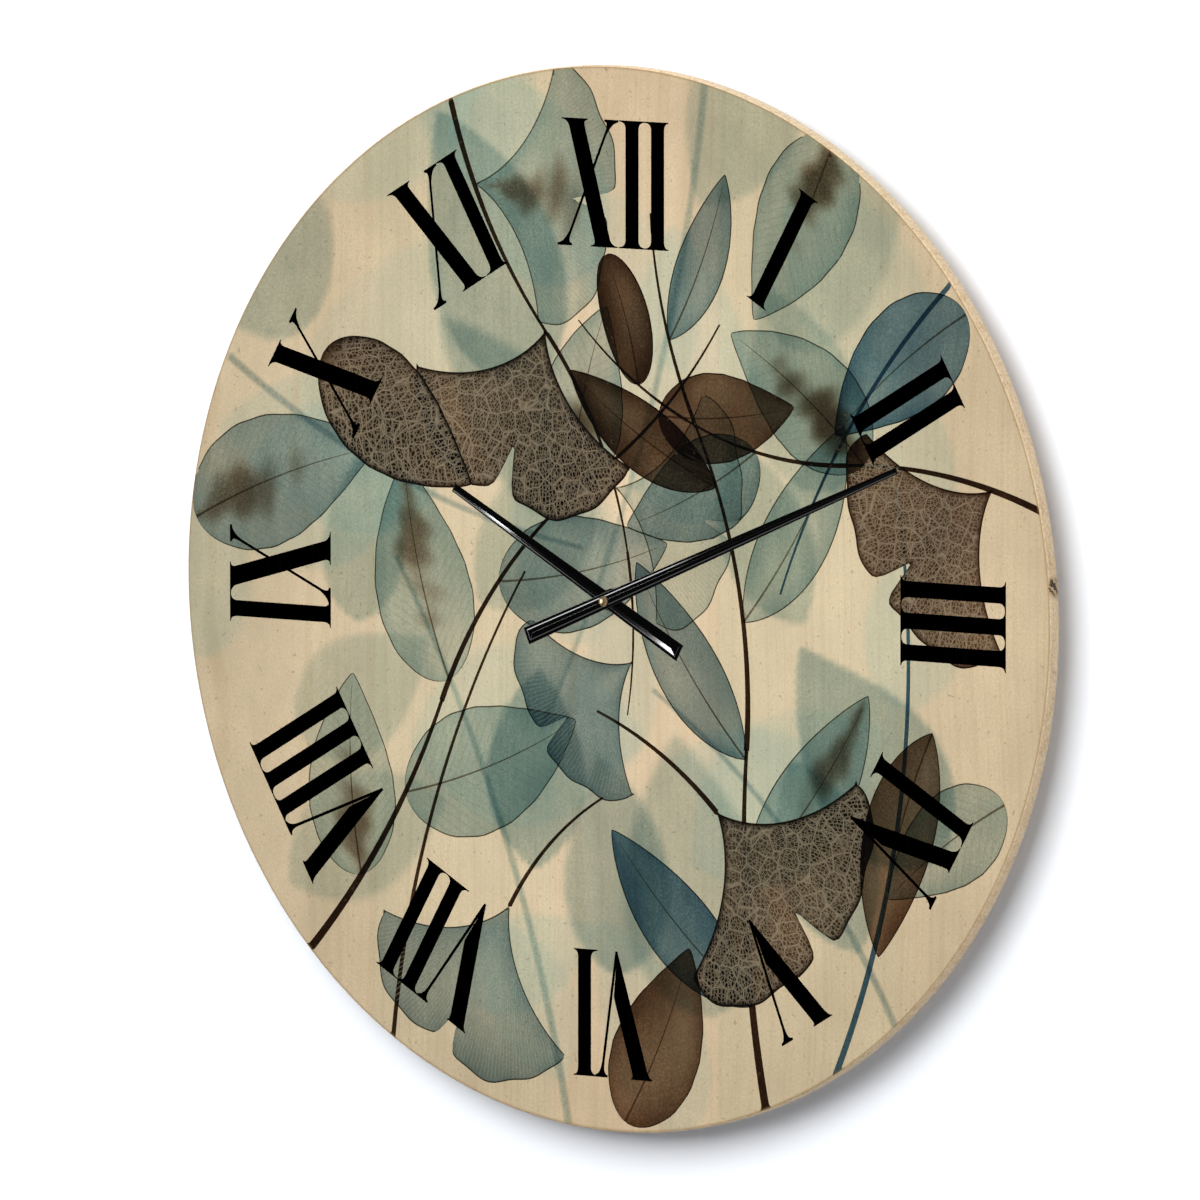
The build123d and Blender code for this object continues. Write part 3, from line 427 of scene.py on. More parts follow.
lay("oval", 262, -96, -152, 96, 52, 16, "teal", 1.0)
lay("stem", 150, -250, 66, 330, 4.0, 34, "navy", 1.0)
lay("stem", -150, -250, 84, 280, 3.0, -26, "umber", 0.9)
lay("stem", 226, 184, -136, 210, 3.0, 26, "navy", 1.0)

# The drawing: every outline and midrib, cut at the rim, with points between for the soft tones.
RIM_STEPS = 720
circle = 2 * np.pi * np.arange(RIM_STEPS) / RIM_STEPS
points, edges = [], []


def draw_loop(xs, ys):
    """Add a closed line to the drawing, cut at the rim."""
    inside = np.hypot(xs, ys) < FACE_RADIUS - 1.0
    first = len(points)
    points.extend(Vector(pair) for pair in zip(xs.tolist(), ys.tolist()))
    total = len(xs)
    edges.extend((first + i, first + (i + 1) % total) for i in range(total)
                 if inside[i] and inside[(i + 1) % total])


def rib_half(along, length):
    """Half the width of a leaf's midrib."""
    return 0.55 * (1 - along / length) + 0.12


EDGE_LINE, RIB_END = 0.8, 0.94
draw_loop(FACE_RADIUS * np.cos(circle), FACE_RADIUS * np.sin(circle))
edges.extend((i, (i + 1) % RIM_STEPS) for i in range(RIM_STEPS))
for shape in printed:
    blur = shape.soft / 2
    if blur and shape.form != "stem":
        continue
    if blur:
        insets = (-blur, 0.0, min(blur, 0.45 * half_width(shape, 1.0)))
    else:
        insets = (0.0,) if shape.form == "stem" else (0.0, EDGE_LINE)
    for inset in insets:
        xs, ys = outline(shape, inset)
        if len(xs) > 2:
            draw_loop(xs, ys)
    if shape.form in ("oval", "lance", "pod"):
        along = np.linspace(0.01, RIB_END, 24) * shape.length
        rib = rib_half(along, shape.length)
        left, right = on_arc(shape, along, rib), on_arc(shape, along[::-1], -rib[::-1])
        draw_loop(np.concatenate([left[0], right[0]]), np.concatenate([left[1], right[1]]))
keep = [i for i, point in enumerate(points) if point.length < FACE_RADIUS + 0.01]
renumber = {old: new for new, old in enumerate(keep)}
points = [points[i] for i in keep]
edges = [(renumber[a], renumber[b]) for a, b in edges if a in renumber and b in renumber]
# Points in rows of even triangles fill the rest.
FILL_STEP, ROW_RATIO = 3.3, 0.866
rows = int(FACE_RADIUS / (FILL_STEP * ROW_RATIO)) + 1
for row in range(-rows, rows + 1):
    for column in range(-rows, rows + 1):
        x = (column + 0.5 * (row % 2)) * FILL_STEP
        y = row * FILL_STEP * ROW_RATIO
        if math.hypot(x, y) < FACE_RADIUS - 2:
            points.append(Vector((x, y)))
flat_points, _, faces, _, _, _ = delaunay_2d_cdt(points, edges, [], 0, 1e-4, False)
flat = np.array([point[:] for point in flat_points])
corners = np.array([face[:3] for face in faces])
side_a, side_b = (flat[corners[:, i]] - flat[corners[:, 0]] for i in (1, 2))
corners = corners[np.abs(np.cross(side_a, side_b)) > 1e-5]
# A corner's ink is read a little way in, so that a line stays sharp at its edge.
middle = flat[corners].mean(axis=1)
corner_at = flat[corners] * 0.97 + middle[:, None, :] * 0.03


def smooth(value):
    """Ease from 0 to 1."""
    value = np.clip(value, 0, 1)
    return value * value * (3 - 2 * value)


density = np.zeros(corner_at.shape[:2] + (3,))
vein = np.zeros(corner_at.shape[:2] + (3,))
for shape in printed:
    ink = absorption[shape.ink] * shape.depth
    if shape.soft:
        edge = leaf_place(shape, corner_at[..., 0], corner_at[..., 1])[3]
        density += smooth(edge / shape.soft + 0.5)[..., None] * ink
        continue
    covered = leaf_place(shape, middle[:, 0], middle[:, 1])[3] > 0
    where = corner_at[covered]
    along, across, side, edge = leaf_place(shape, where[..., 0], where[..., 1])
    share = along / shape.length
    strength = np.ones(edge.shape)
    if shape.form != "stem":
        # Each leaf is darker towards its rim and in a few cloudy patches.
        centre = leaf_place(shape, middle[covered, 0], middle[covered, 1])
        strength = 0.76 + 0.34 * np.exp(-np.maximum(edge, -99) / 7)
        strength += shape.fade * (share - 0.4)
        strength += 0.2 * np.sin(share * 5 + shape.x) * np.sin(side * 2.5 + shape.y)
        rimmed = np.where(centre[3] < EDGE_LINE, 0.42, 0.0)[:, None]
        if shape.form == "fan":
            lines = across * shape.length / 2.6
        else:
            rib = np.abs(centre[1]) < rib_half(centre[0], shape.length)
            rib &= centre[0] < RIB_END * shape.length
            rimmed = rimmed + np.where(rib, 0.32, 0.0)[:, None]
            slant, spacing = (0.95, 6.0) if shape.form == "oval" else (2.2, 4.0)
            lines = (along - np.abs(across) * slant) / spacing
        calm = smooth(edge / 3 - 0.2) * smooth(share * 8)
        vein[covered] = np.stack([lines, calm * shape.veins, calm * shape.net], axis=-1)
        density[covered] += rimmed[..., None] * absorption["umber"]
        if shape.stain:
            # A brown stain runs along the middle of some leaves.
            stain_ink, stain_share, stain_reach = shape.stain
            ragged = 0.18 * np.sin(share * 17 + side * 2) + 0.12 * np.sin(share * 41 - side * 4)
            spread = np.hypot((share - stain_share) / stain_reach / 1.35, side / 0.5) + ragged
            density[covered] += (smooth(1.15 - spread) * 0.5)[..., None] * absorption[stain_ink]
    density[covered] += strength[..., None] * ink
# The ground's own tone: greener and deeper towards the left and round the edge.
off_centre = np.hypot(corner_at[..., 0], corner_at[..., 1]) / FACE_RADIUS
wash = 0.14 * smooth(-corner_at[..., 0] / 290) + 0.10 * smooth(off_centre * 1.6 - 0.75)
density += wash[..., None] * absorption["sage"]
density += (0.05 * smooth(off_centre * 2 - 1.0))[..., None] * absorption["brown"]
transmitted = np.exp(-density)


def stand(name, data):
    """Put a mesh, a lamp or a camera in the scene as an object."""
    made = bpy.data.objects.new(name, data)
    bpy.context.scene.collection.objects.link(made)
    return made


def face_front(mesh):
    """Turn a flat mesh's faces to the front of the clock."""
    if sum(polygon.normal.y for polygon in mesh.polygons) > 0:
        mesh.flip_normals()


film_mesh = bpy.data.meshes.new("printed_picture")
lift = 0.00008
film_mesh.from_pydata(
    [(x / 1000, face_y - lift, disc_centre_z + y / 1000) for x, y in flat.tolist()], [],
    corners.tolist())
ink_layer = film_mesh.color_attributes.new("ink", "FLOAT_COLOR", "CORNER")
rgba = np.concatenate([transmitted, np.ones(transmitted.shape[:2] + (1,))], axis=-1)
ink_layer.data.foreach_set("color", rgba.astype(np.float32).ravel())
vein_layer = film_mesh.attributes.new("vein", "FLOAT_VECTOR", "CORNER")
vein_layer.data.foreach_set("vector", vein.astype(np.float32).ravel())
film_mesh.validate()
face_front(film_mesh)
film = stand("printed_picture", film_mesh)

# Pigment ink on whitewashed pine: matt to satin, the grain faint under it. Veins and the fine
# net of the skeleton leaves, cells 2 mm across, are drawn from each leaf's own lines.
print_ink, tree, place = new_material("pigment_ink_on_pine")
wood, height = pine_grain(tree, place, linear("#e2d1b3"), linear("#cfb893"), 0.24)
ink_colour = add(tree, "Attribute", attribute_name="ink").outputs["Color"]
veins = add(tree, "SeparateXYZ", add(tree, "Attribute", attribute_name="vein").outputs["Vector"])
wander = add(tree, "TexNoise", Vector=place, Scale=160.0, Detail=3.0)
line_place = add(tree, "Math", wander, 0.7, veins.outputs["X"], operation="MULTIPLY_ADD")
line = add(tree, "MapRange", interpolation_type="SMOOTHSTEP",
    Value=add(tree, "Math", line_place, 0.5, operation="PINGPONG"), From_Min=0.16, From_Max=0.0)
dark_line = add(tree, "Math", line, veins.outputs["Y"], operation="MULTIPLY", use_clamp=True)
pale_share = add(tree, "Math", veins.outputs["Y"], -1.0, operation="MULTIPLY", use_clamp=True)
pale_line = add(tree, "Math", line, pale_share, operation="MULTIPLY")
crooked = add(tree, "VectorMath", wander.outputs["Color"], (0.002, 0.002, 0.002), place,
    operation="MULTIPLY_ADD")
cells = add(tree, "TexVoronoi", feature="DISTANCE_TO_EDGE", Vector=crooked, Scale=430.0)
ribs = add(tree, "TexVoronoi", feature="DISTANCE_TO_EDGE", Vector=crooked, Scale=105.0)
fine_web = add(tree, "MapRange", interpolation_type="SMOOTHSTEP", Value=cells, From_Min=0.17,
    From_Max=0.0, To_Max=0.75)
main_web = add(tree, "MapRange", interpolation_type="SMOOTHSTEP", Value=ribs, From_Min=0.07,
    From_Max=0.0)
web = add(tree, "Math", fine_web, main_web, operation="MAXIMUM")
net_line = add(tree, "Math", web, veins.outputs["Z"], operation="MULTIPLY")
pale_line = add(tree, "Math", pale_line, net_line, operation="MAXIMUM")
mottle = add(tree, "TexNoise", Vector=place, Scale=750.0, Detail=3.0, Roughness=0.7)
blotch = add(tree, "TexNoise", Vector=add(tree, "Mapping", Vector=place, Scale=(1.0, 1.0, 0.6)),
    Scale=26.0, Detail=5.0, Roughness=0.65)
patchy = add(tree, "Math", mottle, blotch, operation="MULTIPLY")
uneven = add(tree, "MapRange", Value=patchy, From_Min=0.12, From_Max=0.42, To_Min=1.12,
    To_Max=0.72)
inked = add(tree, "Gamma", Color=ink_colour, Gamma=uneven)
picture = add(tree, "Mix", 1.0, wood, inked, data_type="RGBA", blend_type="MULTIPLY")
dark_share = add(tree, "Math", dark_line, 0.5, operation="MULTIPLY")
pale_share = add(tree, "Math", pale_line, 0.6, operation="MULTIPLY")
flecks = add(tree, "TexNoise", Vector=place, Scale=420.0, Detail=1.0)
fleck = add(tree, "MapRange", Value=flecks, From_Min=0.7, From_Max=0.78, To_Max=0.35)
for share, layer in ((dark_share, linear("#3c3226")), (pale_share, wood),
                     (fleck, linear("#5b4a35"))):
    picture = add(tree, "Mix", share, picture, layer, data_type="RGBA")
worn = add(tree, "MapRange", Value=patchy, From_Min=0.13, From_Max=0.38, To_Min=0.88, To_Max=1.05)
picture = add(tree, "Mix", 1.0, picture, worn, data_type="RGBA", blend_type="MULTIPLY")
# A narrow band of the face just before the rim is darkened to a brown line.
DARK_EDGE_BAND = 0.0013
dark_edge = add(tree, "MapRange", Value=axis_distance(tree, place),
    From_Min=FACE_RADIUS / 1000 - DARK_EDGE_BAND, From_Max=FACE_RADIUS / 1000, To_Max=0.6)
picture = add(tree, "Mix", dark_edge, picture, linear("#8f7048"), data_type="RGBA")
bump = add(tree, "Bump", Strength=0.12, Distance=0.0002, Height=height)
add(tree, "OutputMaterial", Surface=add(tree, "BsdfPrincipled", Base_Color=picture, Roughness=0.55,
    Specular_IOR_Level=0.04, Normal=bump))
film_mesh.materials.append(print_ink)
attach(film, "case")

# ---- Numerals ----
# Roman numerals in heavy black ink over the picture, feet towards the spindle. The thick strokes
# are joined by hairline serifs with round brackets, so the slots between them have round ends.
NUMERAL_FOOT, NUMERAL_HEIGHT = 192.7, 69.8
STEM, HAIRLINE, PITCH, SERIF, SERIF_T = 8.8, 1.7, 17.2, 7.3, 0.7
V_WIDTH, X_WIDTH, THICK = 37.7, 40.5, 10.6


def bracket(start, corner, tip, steps=8):
    """Points of the concave curve from a stroke to the tip of its serif."""
    shares = [i / steps for i in range(steps + 1)]
    return [tuple((1 - t) ** 2 * a + 2 * t * (1 - t) * b + t * t * c
                  for a, b, c in zip(start, corner, tip)) for t in shares]


def serif(centre, half, slope, level, reaches, rise=4.4, thin=SERIF_T):
    """One end of a stroke: its bracketed serif, reaching left and right of the centre."""
    into = 1 if level == 0 else -1
    sides = [
        bracket((centre + slope * rise * into + side * half, level + rise * into),
                (centre + side * (half + 0.2), level + thin * into),
                (centre + side * reach, level + thin * into * 0.9))
        + [(centre + side * reach, level)]
        for side, reach in zip((-1, 1), reaches)
    ]
    return sides[0] + sides[1][::-1]


def stroke(foot_x, top_x, width, foot, top, **ends):
    """A slanting stroke and its serifs, given their reach left and right at foot and top."""
    half, slope = width / 2, (top_x - foot_x) / NUMERAL_HEIGHT
    shapes = [[(foot_x - half, 0.0), (foot_x + half, 0.0), (top_x + half, NUMERAL_HEIGHT),
               (top_x - half, NUMERAL_HEIGHT)]]
    if foot:
        shapes.append(serif(foot_x, half, slope, 0.0, foot, **ends))
    if top:
        shapes.append(serif(top_x, half, slope, NUMERAL_HEIGHT, top, **ends))
    return shapes


def numeral_shapes(text):
    """Outlines of one numeral in mm, its left edge at zero, and its width."""
    flare = dict(rise=8.4, thin=1.5)
    shapes, x = [], 0.0
    for place, letter in enumerate(text):
        before, after = text[place - 1] if place else "", text[place + 1:place + 2]
        if letter == "I":
            centre = x + {"": SERIF, "I": PITCH / 2, "V": 8.0, "X": 9.9}[before]
            reaches = [PITCH / 2 + 0.3 if beside else SERIF for beside in (before, after)]
            shapes += stroke(centre, centre, STEM, reaches, reaches)
            x = centre + {"": SERIF, "I": PITCH / 2, "V": 11.1, "X": 5.0}[after]
        elif letter == "V":
            # The thick stroke runs to a point at the foot, where the hairline meets it.
            left, right, apex = x + 1.7, x + 1.7 + THICK, x + 23.5
            slope = (left - apex) / NUMERAL_HEIGHT
            shapes.append([(apex, 0.0), (apex + 2.4, 25.2), (right, NUMERAL_HEIGHT),
                           (left, NUMERAL_HEIGHT)])
            shapes.append(serif((left + right) / 2, THICK / 2, slope, NUMERAL_HEIGHT,
                                (THICK / 2 + (3.4 if before else 1.9), THICK / 2 + 1.9)))
            shapes += stroke(apex + 0.4, x + 34.2, HAIRLINE, None, (4.2, 4.2), **flare)
            x += V_WIDTH
        else:
            shapes += stroke(x + 31.4, x + 12.0, THICK, (8.8, 9.2), (9.2, 8.4))
            shapes += stroke(x + 5.4, x + 36.0, HAIRLINE, (5.4, 4.4), (4.2, 5.2), **flare)
            x += X_WIDTH
    return shapes, x


def grow(tree, name, mesh, values):
    """Run a Geometry Nodes tree on a mesh and give its result as a plain mesh object."""
    seed = stand(name + "_seed", mesh)
    modifier = seed.modifiers.new(name, "NODES")
    modifier.node_group = tree
    for item in tree.interface.items_tree:
        if item.name in values:
            modifier[item.identifier] = values[item.name]
    graph = bpy.context.evaluated_depsgraph_get()
    result = bpy.data.meshes.new_from_object(seed.evaluated_get(graph), depsgraph=graph)
    result.name = name
    seed.modifiers.remove(modifier)
    bpy.data.objects.remove(seed)
    return stand(name, result)


def new_growth(name, inputs):
    """A Geometry Nodes tree with its named inputs, and the sockets that give them."""
    tree = bpy.data.node_groups.new(name, "GeometryNodeTree")
    for socket_name, kind in inputs:
        tree.interface.new_socket(socket_name, in_out="INPUT", socket_type="NodeSocket" + kind)
    tree.interface.new_socket("Geometry", in_out="OUTPUT", socket_type="NodeSocketGeometry")
    return tree, add(tree, "NodeGroupInput").outputs


def close_growth(tree, geometry, finish):
    """End a Geometry Nodes tree: its material is set and its instances are made real."""
    finished = add(tree, "GeometryNodeSetMaterial", Geometry=geometry, Material=finish)
    real = add(tree, "GeometryNodeRealizeInstances", Geometry=finished)
    add(tree, "NodeGroupOutput", Geometry=real)


# The letters are drawn flat, each numeral on its own foot, and marked with its hour.
numeral_points, numeral_faces, point_hours = [], [], []
for hour, text in enumerate(
        ("I", "II", "III", "IV", "V", "VI", "VII", "VIII", "IX", "X", "XI", "XII"), start=1):
    shapes, width = numeral_shapes(text)
    glyph_points, glyph_faces = [], []
    for loop in shapes:
        first = len(glyph_points)
        area = sum(a[0] * b[1] - b[0] * a[1] for a, b in zip(loop, loop[1:] + loop[:1]))
        glyph_points += [Vector(point) for point in loop[::1 if area > 0 else -1]]
        glyph_faces.append(list(range(first, len(glyph_points))))
    solid_points, _, solid_faces, _, _, origins = delaunay_2d_cdt(
        glyph_points, [], glyph_faces, 0, 1e-4, True)
    first = len(numeral_points)
    numeral_points += [((point.x - width / 2) / 1000, 0.0, point.y / 1000)
                       for point in solid_points]
    point_hours += [hour] * len(solid_points)
    numeral_faces += [[first + i for i in face] for face, origin in zip(solid_faces, origins)
                      if origin]
flat_letters = bpy.data.meshes.new("flat_letters")
flat_letters.from_pydata(numeral_points, [], numeral_faces)
flat_letters.attributes.new("hour", "FLOAT", "POINT").data.foreach_set("value", point_hours)

# The tree swings each numeral round the dial by its hour, foot towards the spindle.
tree, given = new_growth("numeral_ring", [
    ("Geometry", "Geometry"), ("Foot Radius", "Float"), ("Dial Centre", "Vector"),
    ("Hours In A Turn", "Float"), ("Ink", "Material")])
hour_of = add(tree, "GeometryNodeInputNamedAttribute", "hour", data_type="FLOAT")
angle = add(tree, "Math", hour_of.outputs[0],
    add(tree, "Math", 2 * math.pi, given["Hours In A Turn"], operation="DIVIDE"),
    operation="MULTIPLY")
standing = add(tree, "VectorMath", add(tree, "GeometryNodeInputPosition"),
    add(tree, "CombineXYZ", Z=given["Foot Radius"]), operation="ADD")
swung = add(tree, "VectorRotate", rotation_type="Y_AXIS", Vector=standing, Angle=angle)
placed = add(tree, "GeometryNodeSetPosition", Geometry=given["Geometry"],
    Position=add(tree, "VectorMath", swung, given["Dial Centre"], operation="ADD"))
close_growth(tree, placed, given["Ink"])
numeral_ring = tree

# Dense black pigment ink: flat, with the faintest grain where the wood shows through.
black_ink, tree, place = new_material("black_pigment_ink")
streaks = add(tree, "TexNoise", Vector=add(tree, "Mapping", Vector=place, Scale=(1.0, 1.0, 0.05)),
    Scale=900.0, Detail=3.0)
black = add(tree, "ValToRGB", streaks, stops=[(0.5, linear("#000000")), (0.85, linear("#040303"))])
add(tree, "OutputMaterial", Surface=add(tree, "BsdfPrincipled", Base_Color=black, Roughness=0.6,
    Specular_IOR_Level=0.0))

numerals = grow(numeral_ring, "numerals", flat_letters, {
    "Foot Radius": NUMERAL_FOOT / 1000,
    "Dial Centre": (0.0, face_y - 1.7 * lift, disc_centre_z), "Hours In A Turn": 12.0,
    "Ink": black_ink})
face_front(numerals.data)
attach(numerals, "case")

# ---- Movement case ----
# The quartz movement's tray, lid and middle plate. The tray and lid are injection-moulded ABS,
# the plate between the wheels is natural acetal. The battery lies below the tray's partition.


def moulded(name, colour, roughness, grain_mm, relief_mm, variation=0.12):
    """Moulded plastic with the spark-eroded grain of its tool."""
    made, tree, place = new_material(name)
    grain = add(tree, "TexNoise", Vector=place, Scale=1000 / grain_mm, Detail=3.0, Roughness=0.6)
    flow = add(tree, "TexNoise", Vector=place, Scale=60.0, Detail=2.0)
    shade = add(tree, "ValToRGB", flow, stops=[(0.3, 1 - variation), (0.7, 1 + variation)])
    coloured = add(tree, "Mix", 1.0, linear(colour), shade, data_type="RGBA", blend_type="MULTIPLY")
    uneven = add(tree, "MapRange", Value=grain, To_Min=roughness - 0.06, To_Max=roughness + 0.1)
    bump = add(tree, "Bump", Strength=0.5, Distance=relief_mm / 1000, Height=grain)
    add(tree, "OutputMaterial", Surface=add(tree, "BsdfPrincipled", Base_Color=coloured,
        Roughness=uneven, IOR=1.53, Normal=bump))
    return made


# The eroded grain is 0.4 mm across and scatters the light into a soft charcoal sheen. Acetal,
# which has no pigment, is milky grey with a faint waxy gloss.
dress(["movement_front_case", "movement_rear_cover"],
      moulded("spark_eroded_black_abs", "#17181a", 0.5, 0.4, 0.05))
dress(["middle_plate"], moulded("natural_acetal_plate", "#b9b9b2", 0.42, 0.6, 0.02))

# ---- Stepping motor ----
# A ferrite magnet turns in a stamped iron stator, bridged by the core of a coil: lacquered copper
# wire, wound turn by turn on a nylon bobbin. The real wire is 0.03 mm; here it is 0.2 mm, to show.


def metal(name, colour, roughness, lay_mm, stretch, tarnish="#7a6a52", dullness=0.15):
    """Bare metal with the lines of its last working, stretched along them."""
    made, tree, place = new_material(name)
    lines = add(tree, "TexNoise", Vector=add(tree, "Mapping", Vector=place, Scale=stretch),
        Scale=1000 / lay_mm, Detail=4.0, Roughness=0.65)
    film = add(tree, "TexNoise", Vector=place, Scale=180.0, Detail=3.0)
    share = add(tree, "MapRange", Value=film, From_Min=0.45, From_Max=0.75, To_Max=dullness)
    coloured = add(tree, "Mix", share, linear(colour), linear(tarnish), data_type="RGBA")
    uneven = add(tree, "MapRange", Value=lines, To_Min=max(0.04, roughness - 0.1),
        To_Max=roughness + 0.12)
    bump = add(tree, "Bump", Strength=0.25, Distance=0.00003, Height=lines)
    add(tree, "OutputMaterial", Surface=add(tree, "BsdfPrincipled", Base_Color=coloured,
        Metallic=1.0, Roughness=uneven, Normal=bump))
    return made


# Ferrite is pressed powder, dull and dark as slate. Stamped iron keeps the rolling lines of its
# sheet, a grey sheen along the stack. Nylon is cream and half matt.
dress(["rotor_magnet"], moulded("sintered_ferrite", "#3a3b3d", 0.6, 0.2, 0.02))
dress(["stator", "coil_core"], metal("stamped_soft_iron", "#8f9294", 0.42, 0.4, (1, 1, 5)))
dress(["coil_bobbin"], moulded("moulded_nylon", "#c7bfa8", 0.45, 0.5, 0.01, 0.05))

# Red-brown lacquer over copper: warm, glossy, a little darker where the lacquer is thick.
copper_wire, tree, place = new_material("lacquered_copper_wire")
lacquer_depth = add(tree, "TexNoise", Vector=place, Scale=900.0, Detail=2.0)
wire_colour = add(tree, "ValToRGB", lacquer_depth,
    stops=[(0.35, linear("#9c4f28")), (0.7, linear("#c9783f"))])
add(tree, "OutputMaterial", Surface=add(tree, "BsdfPrincipled", Base_Color=wire_colour,
    Metallic=1.0, Roughness=0.28, Coat_Weight=0.4))

WIRE_MM = 0.2
coil_low, coil_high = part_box("coil_winding")
coil_radius = (coil_high[0] - coil_low[0]) / 2
tree, given = new_growth("coil_turns", [
    ("Geometry", "Geometry"), ("Turns", "Float"), ("Radius", "Float"), ("Length", "Float"),
    ("Foot", "Vector"), ("Wire", "Float"), ("Metal", "Material")])
helix = add(tree, "GeometryNodeCurveSpiral", Resolution=28, Rotations=given["Turns"],
    Start_Radius=given["Radius"], End_Radius=given["Radius"], Height=given["Length"])
wire = add(tree, "GeometryNodeCurveToMesh", Curve=helix, Fill_Caps=True,
    Profile_Curve=add(tree, "GeometryNodeCurvePrimitiveCircle", Resolution=8,
        Radius=add(tree, "Math", given["Wire"], 0.5, operation="MULTIPLY")))
wound = add(tree, "GeometryNodeSetPosition", Geometry=wire, Offset=given["Foot"])
close_growth(tree, wound, given["Metal"])
winding_length = coil_high[2] - coil_low[2] - WIRE_MM / 1000
windings = grow(tree, "copper_windings", bpy.data.meshes.new("coil_seed"), {
    "Turns": winding_length / WIRE_MM * 1000,
    "Radius": coil_radius - WIRE_MM / 2000, "Length": winding_length,
    "Foot": ((coil_low[0] + coil_high[0]) / 2, (coil_low[1] + coil_high[1]) / 2,
             coil_low[2] + WIRE_MM / 2000),
    "Wire": WIRE_MM / 1000, "Metal": copper_wire})
windings.data.shade_smooth()
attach(windings, "case")
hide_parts("coil_winding")

# ---- Wheels and arbors ----
# The train and the motion work: wheels moulded in natural acetal with their arbors, the minute
# arbor turned in brass. The setting knob on the back is the same plastic, coloured grey.
# Acetal without pigment is milky white and slightly waxy; turning leaves the brass bright, with
# fine rings about its axis.
dress(["hour_wheel", "reversing_wheel", "centre_wheel", "third_wheel", "second_wheel",
       "intermediate_wheel", "rotor_pinion"],
      moulded("natural_acetal", "#dcdbd2", 0.38, 0.5, 0.01, 0.05))
dress(["setting_knob"], moulded("grey_acetal", "#8b8e90", 0.42, 0.4, 0.02))
dress(["minute_arbor"], metal("turned_arbor_brass", "#d2af66", 0.24, 0.12, (1, 12, 1)))

# ---- Circuit board, crystal and contacts ----
# A strip of green glass-epoxy laminate with the chip under a drop of black resin and the quartz
# crystal in its drawn can. Two strips of nickel-plated spring steel bring the battery's current.

# The glass cloth shows through the glossy resin as a weave of 1.1 mm. The black drop is
# smooth and wet-looking; the crystal's can and the contacts shine like drawn silver.
laminate, tree, place = new_material("green_glass_epoxy")
weave = add(tree, "TexBrick",
    Vector=add(tree, "Mapping", Vector=place, Rotation=(math.pi / 2, 0, 0)), Scale=450.0,
    Color1=linear("#2d5a3a"), Color2=linear("#27502f"), Mortar=linear("#1f4229"), Mortar_Size=0.04)
weave_bump = add(tree, "Bump", Strength=0.2, Distance=0.00002, Height=weave.outputs["Fac"])
add(tree, "OutputMaterial", Surface=add(tree, "BsdfPrincipled", Base_Color=weave, Roughness=0.32,
    Normal=weave_bump))
dress(["circuit_board"], laminate)
dress(["chip_cover"], moulded("black_potting_resin", "#0d0d0e", 0.3, 1.5, 0.02))
dress(["quartz_crystal"], metal("drawn_nickel_silver", "#c4c3bd", 0.22, 0.2, (0.3, 6, 6)))
dress(["contact_plus", "contact_minus"],
      metal("nickel_plated_spring_steel", "#c2bfb6", 0.25, 0.2, (1, 1, 6), "#a39a86"))

# ---- Battery ----
# A plain AA cell: printed plastic sleeve shrunk over the steel can, copper-coloured at the plus
# end and black over the rest, with the bare can showing at both ends. Handling has scuffed it.
cell_low, cell_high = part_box("battery")
sleeve, tree, place = new_material("printed_shrink_sleeve")
share = add(tree, "MapRange", Value=add(tree, "SeparateXYZ", place).outputs["X"],
    From_Min=cell_low[0], From_Max=cell_high[0])
# Each band: where it starts as a share of the length, its colour, and how metallic it is.
BANDS = ((0.0, "#b9bbbd", 1.0), (0.033, "#a5693c", 0.75), (0.27, "#1a1b1d", 0.0),
         (0.985, "#b9bbbd", 1.0))
bands = add(tree, "ValToRGB", share, interpolation="CONSTANT",
    stops=[(start, linear(colour)) for start, colour, _ in BANDS])
bare = add(tree, "ValToRGB", share, interpolation="CONSTANT",
    stops=[(start, bareness) for start, _, bareness in BANDS])
scuffs = add(tree, "TexNoise", Vector=place, Scale=240.0, Detail=5.0)
scuffed = add(tree, "MapRange", Value=scuffs, To_Min=0.18, To_Max=0.42)
add(tree, "OutputMaterial", Surface=add(tree, "BsdfPrincipled", Base_Color=bands, Metallic=bare,
    Roughness=scuffed, Coat_Weight=0.4, Coat_Roughness=0.12))
dress(["battery"], sleeve)

# ---- Hanger ----
# A strap of zinc-plated steel, pressed with the hook hole. The zinc looks bluish and cloudy, and
# the rolling lines of the sheet run along the strap.
dress(["wall_hanger"], metal("zinc_plated_steel", "#b7babd", 0.36, 0.25, (8, 1, 0.6), "#8d9196"))

# ---- Gasket, bushing, washer and nut ----
# A rubber ring grips the board's back. The brass bushing comes through the board, and a washer
# and hexagon nut, both blackened in a salt bath, clamp the dial from the front.
# Rubber swallows the light; turned brass is bright; the salt bath leaves a black that still
# has a metal's gloss, clouded with brown.
dress(["rubber_gasket"], moulded("moulded_black_rubber", "#1b1a1a", 0.8, 0.8, 0.04))
dress(["threaded_bushing"], metal("turned_brass", "#c9a45c", 0.28, 0.12, (1, 12, 1)))
dress(["dial_washer", "dial_nut"],
      metal("blackened_brass", "#1d1b18", 0.34, 0.3, (1, 1, 1), "#2c2620", 0.3))

